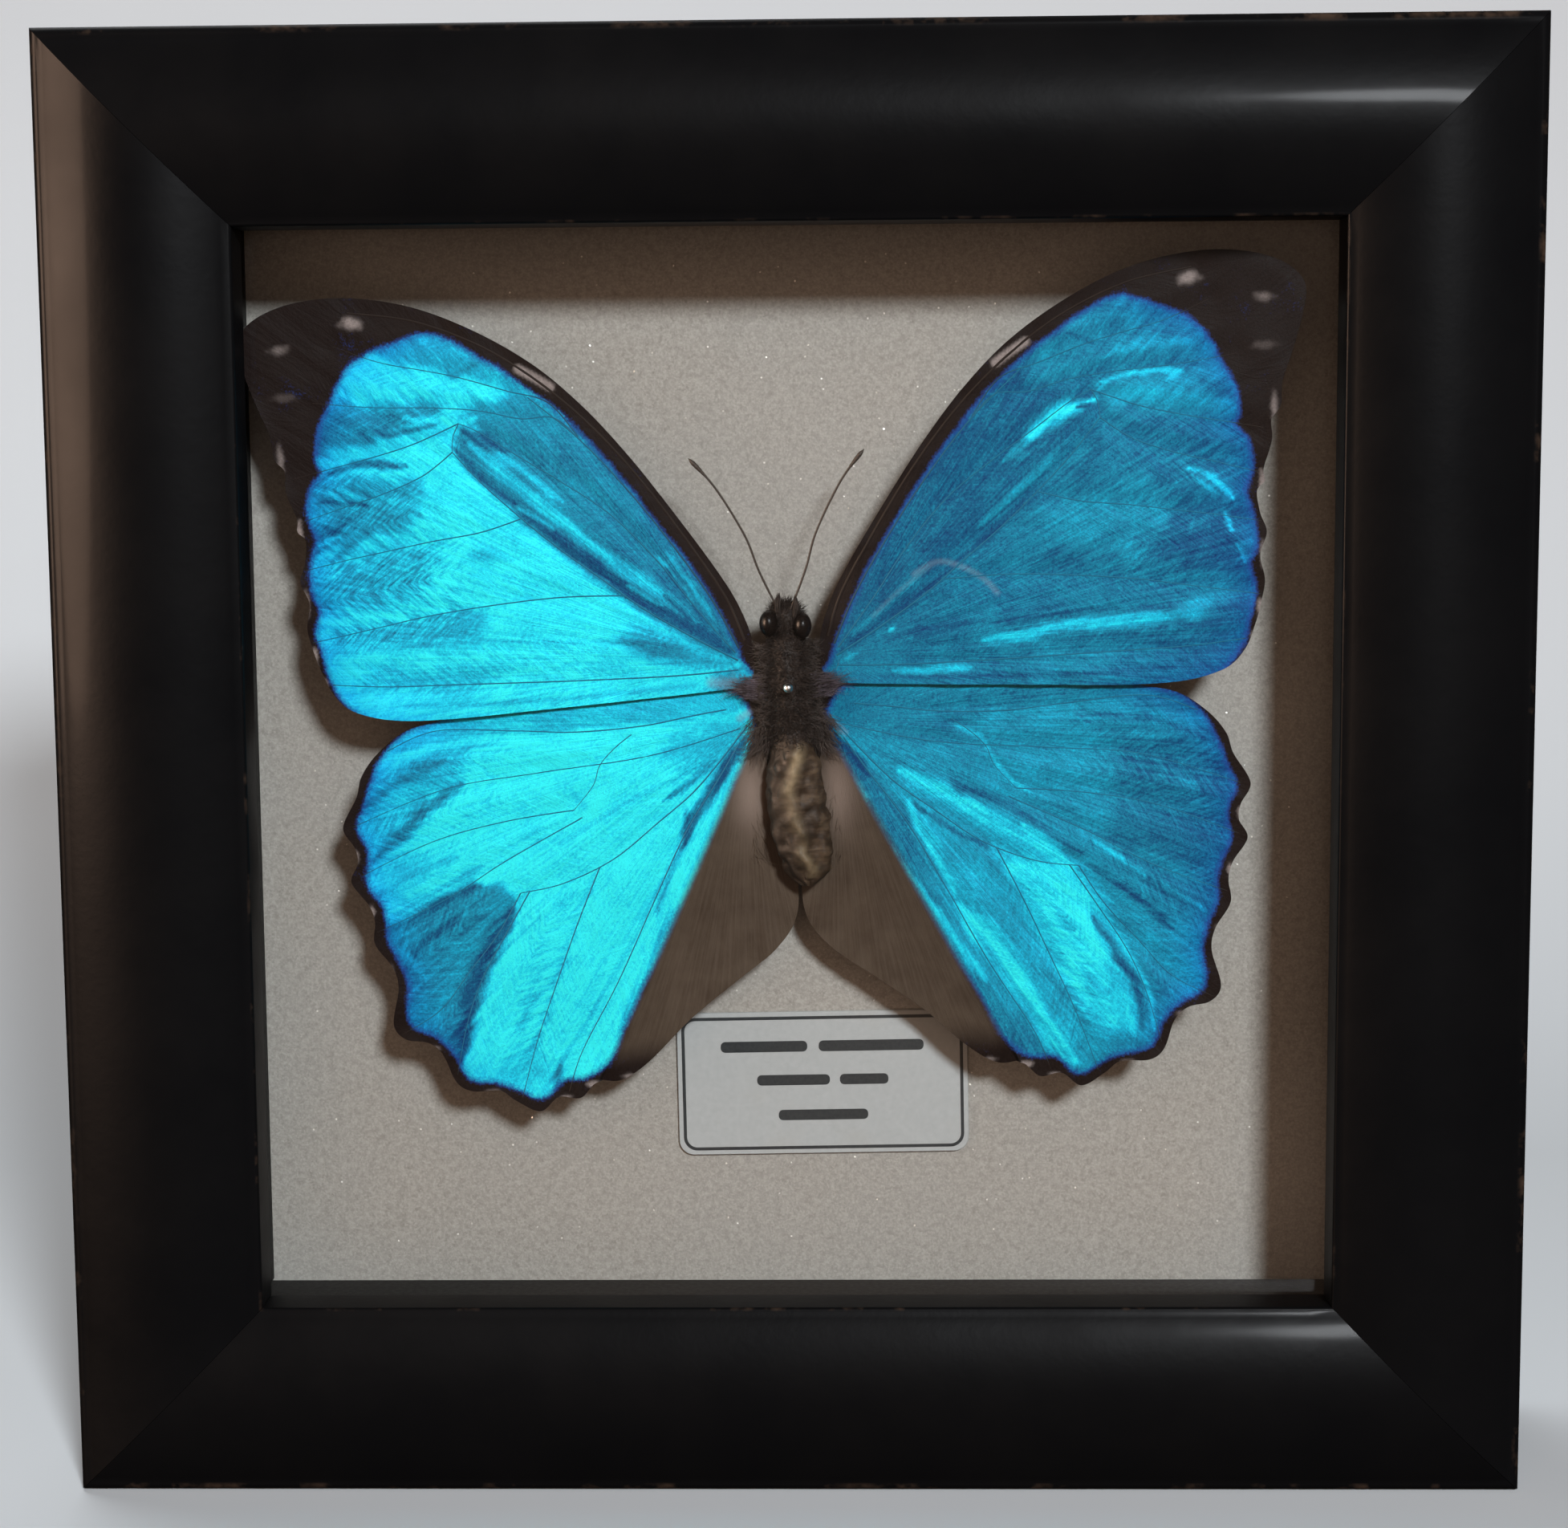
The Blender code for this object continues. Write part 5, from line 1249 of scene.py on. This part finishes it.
def tubeTree(name, mat):
    # round tubes along the edges of a mesh, as thick as its own "thick" attribute says
    tree, given, result = newTree(name, [("Sides", "Int", 8)])
    curve = treeNode(tree, "GeometryNodeMeshToCurve", {"Mesh": given["Geometry"]})
    thick = treeNode(tree, "GeometryNodeInputNamedAttribute", {"Name": "thick"}, data_type="FLOAT")
    ring = treeNode(tree, "GeometryNodeCurvePrimitiveCircle", {"Resolution": given["Sides"], "Radius": 1.0})
    tube = treeNode(tree, "GeometryNodeCurveToMesh",
                    {"Curve": curve.outputs[0], "Profile Curve": ring.outputs[0],
                     "Scale": thick.outputs["Attribute"], "Fill Caps": True})
    smooth = treeNode(tree, "GeometryNodeSetShadeSmooth", {"Geometry": tube.outputs[0]})
    finishTree(tree, smooth.outputs[0], mat, result["Geometry"])
    return tree


def growTubes(name, tree, paths, sides):
    # paths: (world points, radius at each point, blue mask at each point)
    points, edges, thick, mask = [], [], [], []
    for path, radii, blue in paths:
        start = len(points)
        points += [tuple(point) for point in path]
        edges += [(start + i, start + i + 1) for i in range(len(path) - 1)]
        thick += list(radii)
        mask += list(blue)
    mesh = bpy.data.meshes.new(name + "Path")
    mesh.from_pydata(points, edges, [])
    guide = addObject(name + "Path", mesh)
    setAttribute(guide, "thick", thick)
    setAttribute(guide, "blue", mask)
    piece = grow(guide, tree, {"Sides": sides}, name)
    bpy.data.objects.remove(guide)
    facesOutward(piece)
    return piece


def blueMask(wing, spots):
    return softStep(insideDistance(spots, smoothPath(wing["blue"], 4, closed=True)), -1.5, 0.6)


def makeWing(wing, side, top, under, ribTree):
    sideName = "right" if side > 0 else "left"
    loop = smoothPath(wing["outline"], 8, closed=True)
    spots, tris = latticeIn(loop, wing["grid"])
    fields = wingFields(wing, spots)
    reach, bearing, rib, edge = fields
    depth = wingDepth(wing, side, spots, fields)
    thick = wing["thick"] * (0.35 + 0.65 * softStep(edge, 0, 1.2))
    front = onInsect(side, spots[:, 0], spots[:, 1], depth)
    back = onInsect(side, spots[:, 0], spots[:, 1], depth + thick)
    behind, walls = shellOf(tris, len(spots))
    if side > 0:
        tris, behind, walls = tris[:, ::-1], behind[:, ::-1], walls[:, ::-1]
    faces = np.concatenate([tris, behind, walls])
    faceMats = np.zeros(len(faces), dtype=np.int32)
    faceMats[len(tris):len(tris) + len(behind)] = 1
    piece = makePiece(f"{wing['name']}_{sideName}_scaled", np.concatenate([front, back]), faces,
                      [top, under], faceMats, 60)
    facesOutward(piece)
    mask = blueMask(wing, spots)
    tissue = np.zeros(len(spots))
    pale = paintSpots(wing, spots)
    if "foldLine" in wing:
        far, hand = pathDistance(spots, wing["foldLine"])
        inner = np.where((hand < 0) & (spots[:, 1] < -6), far, -far)
        tissue = softStep(inner, -0.3, 1.1) * softStep(spots[:, 1], -48.5, -44)
        tissue *= softStep(-spots[:, 1], 6.5, 9)
    paleMark = np.zeros(len(spots))
    for path, half, level in paleMarkPlaces.get((wing["name"], side), []):
        far, _ = pathDistance(spots, smoothPath(path, 5))
        paleMark = np.maximum(paleMark, level * (1 - softStep(far, 0.2 * half, 1.6 * half)))
    paintedSheen = paintSheen(wing, side, spots, fields)
    loopBlue = smoothPath(wing["blue"], 4, closed=True)
    rimward = np.exp(-np.maximum(insideDistance(spots, loopBlue), 0) / 3.2) * softStep(spots[:, 0], 34, 50)
    paintOf = paintedSheenOf[(wing["name"], side)]
    barred = np.zeros(len(spots))
    for loop, level in wing["barred"]:
        barred = np.maximum(barred, level * softStep(insideDistance(spots, loop), -3.0, 3.0))
    barred *= paintOf["barred"]
    bare = np.exp(-np.hypot((spots[:, 0] - 5.6) / 2.2, (spots[:, 1] + 13.5) / 5.0) ** 2)
    for name, values in (("paintedSheen", paintedSheen), ("blue", mask), ("pale", pale), ("paleMark", paleMark), ("tissue", tissue),
                         ("rimward", rimward), ("barred", barred), ("bare", bare)):
        setAttribute(piece, name, np.concatenate([values, values]))
    across = bearing * 32
    setUv(piece, "along", np.tile(np.stack([reach, across], -1), (2, 1)))
    setUv(piece, "barbs", np.tile(np.stack([reach - 1.1 * rib, across], -1), (2, 1)))
    settle(piece, "wing_blue", f"{wing['name']}_{sideName}")

    tubes = []
    for width, points in wing["veins"].values():
        path = smoothPath(points, 12)
        at = wingDepth(wing, side, path, wingFields(wing, path))
        along = np.linspace(0, 1, len(path))
        radii = 0.8 * width * (1.0 - 0.45 * along)
        world = onInsect(side, path[:, 0], path[:, 1], at + 0.6 * radii)
        tubes.append((world, radii * millimetre, blueMask(wing, path)))
    ribs = growTubes(f"{wing['name']}_{sideName}_ribs", ribTree, tubes, 8)
    settle(ribs, "wing_blue")


def makeWings():
    top, under = wingTopMaterial(), wingUndersideMaterial()
    ribTree = tubeTree("wingRibTubes", ribMaterial())
    for side in (-1, 1):
        for wing in (forewing, hindwing):
            makeWing(wing, side, top, under, ribTree)


makeWings()
print("wings ready")


body = {
    "depth": 13.8, "around": 72, "steps": 10,
    # height on the insect, half width, half depth, shift to the right
    "stations": [(10.5, 0.5, 0.5, 0.0), (10.0, 1.5, 1.4, 0.0), (8.8, 2.1, 2.0, 0.0), (7.4, 2.0, 2.0, 0.0),
                 (6.6, 1.6, 1.7, 0.0), (5.6, 2.1, 2.5, 0.0), (3.5, 2.5, 3.2, 0.0), (0.5, 2.6, 3.4, 0.0),
                 (-2.5, 2.5, 3.2, 0.0), (-4.8, 2.2, 2.6, 0.0), (-6.0, 2.2, 2.4, 0.0), (-8.0, 2.7, 2.7, 0.0),
                 (-12.0, 3.5, 3.0, 0.1), (-17.0, 3.9, 3.0, 0.4), (-21.0, 3.6, 2.6, 0.8), (-24.0, 2.5, 1.9, 1.2),
                 (-25.5, 0.8, 0.8, 1.4)],
    "ringPitch": 2.2, "ringDepth": 0.20, "shrivel": 0.52, "fluff": 0.12,
    # where the dried ridge runs down the abdomen: height, shift to the right, strength
    "ridge": [(-7, 1.2, 0.1), (-8.6, 0.8, 1.0), (-11, 0.0, 1.0), (-13, -0.7, 0.8), (-15, -0.5, 0.45), (-18, 0.3, 0.5),
              (-19.4, 0.8, 0.15), (-21, 0.5, 0.55), (-23, 1.7, 0.6), (-24.6, 1.9, 0.3)],
    "ridgeRise": 0.5,
    # x, z, depth and radius of each eye, and how its width and height are scaled
    "eyes": [(-2.1, 8.0, 12.1, 1.45), (2.1, 7.5, 12.1, 1.45)], "eyeScale": (0.8, 1.12),
    "fuzz": {"Density": 3.2e7, "Seed": 4, "Width": 0.000034, "Length": 0.0011, "Length Spread": 0.5, "Tilt": 1.9},
    "palpHairs": 46, "palpDepth": 12.0, "palpHalf": 0.05, "palpBulge": 0.34,
    "palps": [[(-0.7, 8.6), (-0.85, 10.2), (-0.6, 11.5)], [(1.0, 8.3), (1.45, 9.8), (1.4, 11.1)]],
}


def bodyPoints(rows):
    # points of the lofted body with its rings, folds and ridge, and the marks that drive its colour: painted shade down
    # the abdomen's left side and a painted highlight along the ridge
    around = body["around"]
    height, halfWidth, halfDepth, shift = (rows[:, None, k] for k in range(4))
    angle = 2 * math.pi * np.arange(around)[None, :] / around
    across, front = np.cos(angle), np.sin(angle)
    ridgePath = np.array(body["ridge"])[::-1]
    ridgeX = np.interp(height, ridgePath[:, 0], ridgePath[:, 1])
    ridgeLevel = np.interp(height, ridgePath[:, 0], ridgePath[:, 2], left=0, right=0)
    abdomen = softStep(-height, 5.5, 8.5)
    ring = np.abs(np.sin(math.pi * (height + 0.5 * front) / body["ringPitch"])) ** 0.5 - 0.8
    u, v = height / 1.7 + 0 * angle, 3.2 * across + 7 + 0 * height
    fold = valueNoise(u, v + 0.8 * front, 31) + 0.6 * valueNoise(u * 2.3, v * 2.3 + front, 32)
    lump = valueNoise(height / 0.7 + 9 + 0 * angle, 5 * angle + 0 * height, 33)
    swell = abdomen * (body["ringDepth"] * ring + body["shrivel"] * 0.6 * fold)
    swell = swell + (1 - abdomen) * body["fluff"] * lump
    x = shift + (halfWidth + swell) * across
    ridge = ridgeLevel * np.exp(-((x - ridgeX) / 0.75) ** 2) * (front > 0)
    dip = abdomen * 0.35 * np.exp(-((x - ridgeX - 1.7) / 0.8) ** 2) * (front > 0)
    y = body["depth"] - (halfDepth + swell) * front - body["ridgeRise"] * ridge + dip
    knots = 0.5 + 0.5 * valueNoise(height / 0.55 + 0 * angle, 2.2 * x + 3, 34)
    # painted shade: the abdomen's left side, away from the key light, is painted darker
    marks = {"fur": (1 - abdomen) + 0 * angle, "ridge": ridge * (0.55 + 0.6 * knots), "abdomen": abdomen + 0 * angle,
             "paintedShade": softStep(-(x - shift) / halfWidth, 0.15, 0.75) * abdomen}
    return onInsect(1, x, height + 0 * angle, y), marks


def bodyMaterial():
    mat, shader = newMaterial("bodySkin", Specular_IOR_Level=0.25)
    where = objectCoords(mat)
    fine = noise(mat, where, 1300.0, 4.0, 0.65)
    blotch = noise(mat, where, 420.0, 3.0, 0.6)
    bands = noise(mat, stretched(mat, where, (160.0, 300.0, 900.0)), 1.0, 3.0, 0.6)
    thorax = mixed(mat, fine, rgb(0.012, 0.008, 0.007), rgb(0.040, 0.027, 0.022))
    lean = calc(mat, "ADD", calc(mat, "MULTIPLY", blotch, 0.45), calc(mat, "MULTIPLY", bands, 0.55))
    skin = ramp(mat, lean, [(0.34, rgb(0.015, 0.009, 0.005)), (0.48, rgb(0.038, 0.022, 0.012)),
                            (0.64, rgb(0.110, 0.072, 0.044))])
    # painted shade down the abdomen's left side
    skin = mixed(mat, calc(mat, "MULTIPLY", attribute(mat, "paintedShade"), 0.85), skin, rgb(0.020, 0.011, 0.006))
    # the ridge is painted tan: partly the abdomen's golden scales, partly a painted highlight along its crest
    tan = mixed(mat, fine, rgb(0.17, 0.115, 0.060), rgb(0.50, 0.38, 0.23))
    skin = mixed(mat, calc(mat, "MULTIPLY", attribute(mat, "ridge"), 0.9, clamp=True), skin, tan)
    plug(mat, shader["Base Color"], mixed(mat, attribute(mat, "abdomen"), thorax, skin))
    plug(mat, shader["Roughness"], remap(mat, blotch, 0.3, 0.7, 0.45, 0.7))
    plug(mat, shader["Normal"], bumped(mat, calc(mat, "ADD", fine, blotch), 0.5, 0.00015))
    return mat


def eyeMaterial():
    mat, shader = newMaterial("eyeFacets", Specular_IOR_Level=0.14, Coat_Weight=0.02, Coat_Roughness=0.2)
    facets = addNode(mat, "ShaderNodeTexVoronoi", {"Vector": objectCoords(mat), "Scale": 6500.0})
    plug(mat, shader["Base Color"], mixed(mat, facets.outputs["Distance"], rgb(0.003, 0.002, 0.002),
                                          rgb(0.014, 0.009, 0.007)))
    plug(mat, shader["Roughness"], remap(mat, facets.outputs["Distance"], 0.0, 0.8, 0.2, 0.4))
    return mat


def hairMaterial(name, dark, light, flank=None):
    mat, shader = newMaterial(name, Specular_IOR_Level=0.2)
    where = objectCoords(mat)
    base = mixed(mat, remap(mat, noise(mat, where, 700.0, 3.0, 0.65), 0.35, 0.65), dark, light)
    if flank:
        # greyer away from the middle of the back
        aside = calc(mat, "ABSOLUTE", calc(mat, "SUBTRACT", addNode(mat, "ShaderNodeSeparateXYZ",
                                                                   {0: where}).outputs[0], pinPlace[0]))
        away = calc(mat, "MULTIPLY", remap(mat, aside, 0.0021, 0.0040), remap(mat, noise(mat, where, 500.0), 0.3, 0.6))
        base = mixed(mat, away, base, flank)
    plug(mat, shader["Base Color"], base)
    plug(mat, shader["Roughness"], remap(mat, noise(mat, where, 2500.0), 0.3, 0.7, 0.5, 0.7))
    return mat


# strands of hair in tufts: how many, where they root (x and z ranges), which way they point, and their size;
# taper shortens them towards the ends of the tuft
strandPatches = {
    "thorax_side": {"count": 900, "roots": (2.2, 3.6, -5.2, 5.6), "depth": (11.4, 14.6), "length": (0.7, 1.7),
                    "aim": (1.0, -0.10), "spread": 0.5, "half": 0.040, "tone": "brown"},
    "wing_base": {"count": 620, "roots": (2.6, 5.2, -1.6, 1.5), "depth": (12.2, 13.1), "length": (2.0, 5.2),
                  "aim": (1.0, 0.12), "spread": 0.13, "half": 0.028, "tone": "grey", "taper": 0.8},
    "hind_base": {"count": 420, "roots": (2.8, 5.0, -8.0, -3.4), "depth": (12.8, 14.2), "length": (1.6, 3.6),
                  "aim": (0.55, -0.9), "spread": 0.35, "half": 0.034, "tone": "brown"},
    "inner_margin": {"count": 700, "roots": (3.9, 6.4, -22.0, -7.0), "depth": (15.6, 17.2), "length": (1.2, 3.0),
                     "aim": (-0.35, -1.0), "spread": 0.35, "half": 0.026, "tone": "tan"},
}


def makeStrands(name, patch, tree, seed):
    rng = np.random.default_rng(seed)
    low, high, bottom, top = patch["roots"]
    tubes = []
    for side in (-1, 1):
        for _ in range(patch["count"] // 2):
            x, z = rng.uniform(low, high), rng.uniform(bottom, top)
            depth = rng.uniform(*patch["depth"])
            fromMiddle = abs(2 * (z - bottom) / (top - bottom) - 1)
            length = rng.uniform(*patch["length"]) * (1 - patch.get("taper", 0) * fromMiddle)
            lean = math.atan2(patch["aim"][1], patch["aim"][0]) + rng.normal(0, patch["spread"])
            lift = rng.normal(-0.12, 0.16)
            t = np.linspace(0, 1, 5)
            bend = rng.normal(0, 0.25) * t
            path = onInsect(side, x + length * t * np.cos(lean + bend), z + length * t * np.sin(lean + bend),
                            depth + length * lift * t + 0.3 * length * t * t)
            radii = patch["half"] * millimetre * (1.05 - t) ** 0.6
            tubes.append((path, radii, np.zeros(5)))
    piece = growTubes(name, tree, tubes, 3)
    settle(piece, "body_brown")


def makeBody():
    skin = bodyMaterial()
    rows = smoothPath(body["stations"], body["steps"])
    points, marks = bodyPoints(rows)
    flat, faces = sweep([list(ring) for ring in points])
    core = makePiece("body_core", flat, faces, [skin], smoothAngle=70)
    facesOutward(core)
    for name, values in marks.items():
        setAttribute(core, name, (values + np.zeros(points.shape[:2])).ravel())
    settle(core, "body_brown", "butterfly_body")

    bm = bmesh.new()
    wider, taller = body["eyeScale"]
    for x, z, depth, radius in body["eyes"]:
        made = bmesh.ops.create_uvsphere(bm, u_segments=40, v_segments=24, radius=radius * millimetre)
        middle = Vector(onInsect(1, x, z, depth).ravel())
        for vert in made["verts"]:
            vert.co = Vector((vert.co.x * wider, vert.co.y, vert.co.z * taller)) + middle
    mesh = bpy.data.meshes.new("body_eyes")
    bm.to_mesh(mesh)
    bm.free()
    mesh.materials.append(eyeMaterial())
    mesh.shade_smooth()
    settle(addObject("body_eyes", mesh), "body_brown")

    darkFur = hairMaterial("darkFur", rgb(0.009, 0.006, 0.005), rgb(0.050, 0.036, 0.030), rgb(0.105, 0.082, 0.072))
    fuzzTree = scatterTree("bodyFuzz", hairShape, darkFur)
    settle(grow(core, fuzzTree, body["fuzz"], "body_fuzz"), "body_brown")

    tones = {"brown": darkFur, "grey": hairMaterial("paleFur", rgb(0.060, 0.045, 0.050), rgb(0.20, 0.16, 0.19)),
             "tan": hairMaterial("tanFur", rgb(0.055, 0.036, 0.024), rgb(0.17, 0.125, 0.085))}
    trees = {tone: tubeTree("strands" + tone.capitalize(), mat) for tone, mat in tones.items()}
    for seed, (name, patch) in enumerate(strandPatches.items()):
        makeStrands("fur_" + name, patch, trees[patch["tone"]], seed + 50)

    rng = np.random.default_rng(8)
    palps = []
    for stub in body["palps"]:
        path = smoothPath(stub, 6)
        for _ in range(body["palpHairs"]):
            t = np.linspace(0, 1, len(path))
            bulge = body["palpBulge"] * np.sin(math.pi * (0.12 + 0.8 * t))
            angle = rng.uniform(0, 2 * math.pi)
            palps.append((onInsect(1, path[:, 0] + bulge * math.cos(angle), path[:, 1] + rng.normal(0, 0.15),
                                   body["palpDepth"] + bulge * math.sin(angle)),
                          body["palpHalf"] * millimetre * (1.1 - t) ** 0.5, np.zeros(len(path))))
    settle(growTubes("body_palps", trees["brown"], palps, 4), "body_brown")


antenna = {"path": [(1.4, 11.0), (3.0, 14.8), (4.5, 19.2), (7.8, 25.2), (10.9, 29.0)], "depth": 13.0, "rise": 0.07,
           "half": 0.15, "club": 0.30, "segment": 0.55}


def antennaMaterial():
    mat, shader = newMaterial("antennaSkin", Specular_IOR_Level=0.4)
    fine = noise(mat, objectCoords(mat), 1800.0, 3.0, 0.6)
    plug(mat, shader["Base Color"], mixed(mat, fine, rgb(0.022, 0.014, 0.011), rgb(0.065, 0.045, 0.033)))
    plug(mat, shader["Roughness"], remap(mat, fine, 0.2, 0.8, 0.45, 0.65))
    return mat


def makeAntennae():
    tree = tubeTree("antennaTubes", antennaMaterial())
    for side, sideName in ((-1, "left"), (1, "right")):
        path = smoothPath([(0.7, 9.6)] + antenna["path"], 40)
        along = np.concatenate([[0], np.cumsum(np.hypot(*np.diff(path, axis=0).T))])
        t = along / along[-1]
        joint = 0.82 + 0.18 * np.abs(np.sin(math.pi * along / antenna["segment"]))
        half = (antenna["half"] + (antenna["club"] - antenna["half"]) * softStep(t, 0.84, 0.95)) * joint
        half *= 1 - 0.8 * softStep(t, 0.965, 1.0)
        world = onInsect(side, path[:, 0], path[:, 1], antenna["depth"] - antenna["rise"] * path[:, 1])
        piece = growTubes("antenna_" + sideName + "_ringed", tree, [(world, half * millimetre, np.zeros(len(t)))], 12)
        settle(piece, "body_brown", "antenna_" + sideName)


makeBody()
makeAntennae()
print("body ready")


def steelMaterial(name, low, high, tarnish):
    mat, shader = newMaterial(name, Metallic=1.0)
    where = objectCoords(mat)
    drawn = noise(mat, stretched(mat, where, (400.0, 400.0, 3000.0), (0, 0.3, 0)), 1.0, 3.0, 0.6)
    spots = remap(mat, noise(mat, where, 700.0, 4.0, 0.65), 0.52, 0.7)
    plug(mat, shader["Base Color"], mixed(mat, spots, mixed(mat, drawn, low, high), tarnish))
    plug(mat, shader["Roughness"], calc(mat, "ADD", remap(mat, drawn, 0.3, 0.7, 0.22, 0.38),
                                        calc(mat, "MULTIPLY", spots, 0.25)))
    plug(mat, shader["Normal"], bumped(mat, drawn, 0.2, 0.00003))
    return mat


def makeFittings():
    steel = steelMaterial("brightSteel", rgb(0.55, 0.55, 0.55), rgb(0.78, 0.78, 0.77), rgb(0.30, 0.27, 0.24))
    brass = steelMaterial("brassedSteel", rgb(0.62, 0.46, 0.20), rgb(0.80, 0.63, 0.32), rgb(0.34, 0.22, 0.10))
    for name, node in frame["nodes"].items():
        if name.startswith("framers_point"):
            node.data.materials[0] = steel
        elif name.startswith(("sawtooth_hanger", "hanger_nail")):
            node.data.materials[0] = brass
    makePin(steel)


pin = {"front": 8.7, "back": 27.0, "half": 0.28, "head": 0.62, "point": 1.5, "tip": 0.03, "sides": 24,
       "headSteps": 12}


def makePin(steel):
    # turned profile, head first: depth along the pin and half width
    rows = []
    for i in range(pin["headSteps"] + 1):
        angle = math.pi * (0.02 + 0.90 * i / pin["headSteps"])
        rows.append((pin["front"] + pin["head"] * (1 - math.cos(angle)), pin["head"] * math.sin(angle)))
    rows += [(pin["front"] + 2.2 * pin["head"], pin["half"]), (pin["back"] - pin["point"], pin["half"]),
             (pin["back"], pin["tip"])]
    rings = []
    for depth, half in rows:
        turns = [2 * math.pi * i / pin["sides"] for i in range(pin["sides"])]
        rings.append([(pinPlace[0] + half * millimetre * math.cos(turn), sightPlane + depth * millimetre,
                       pinPlace[1] + half * millimetre * math.sin(turn)) for turn in turns])
    points, faces = sweep(rings)
    piece = makePiece("pin_turned", points, faces, [steel], smoothAngle=50)
    facesOutward(piece)
    settle(piece, "bright_steel", "insect_pin")


makeFittings()
print("fittings ready")
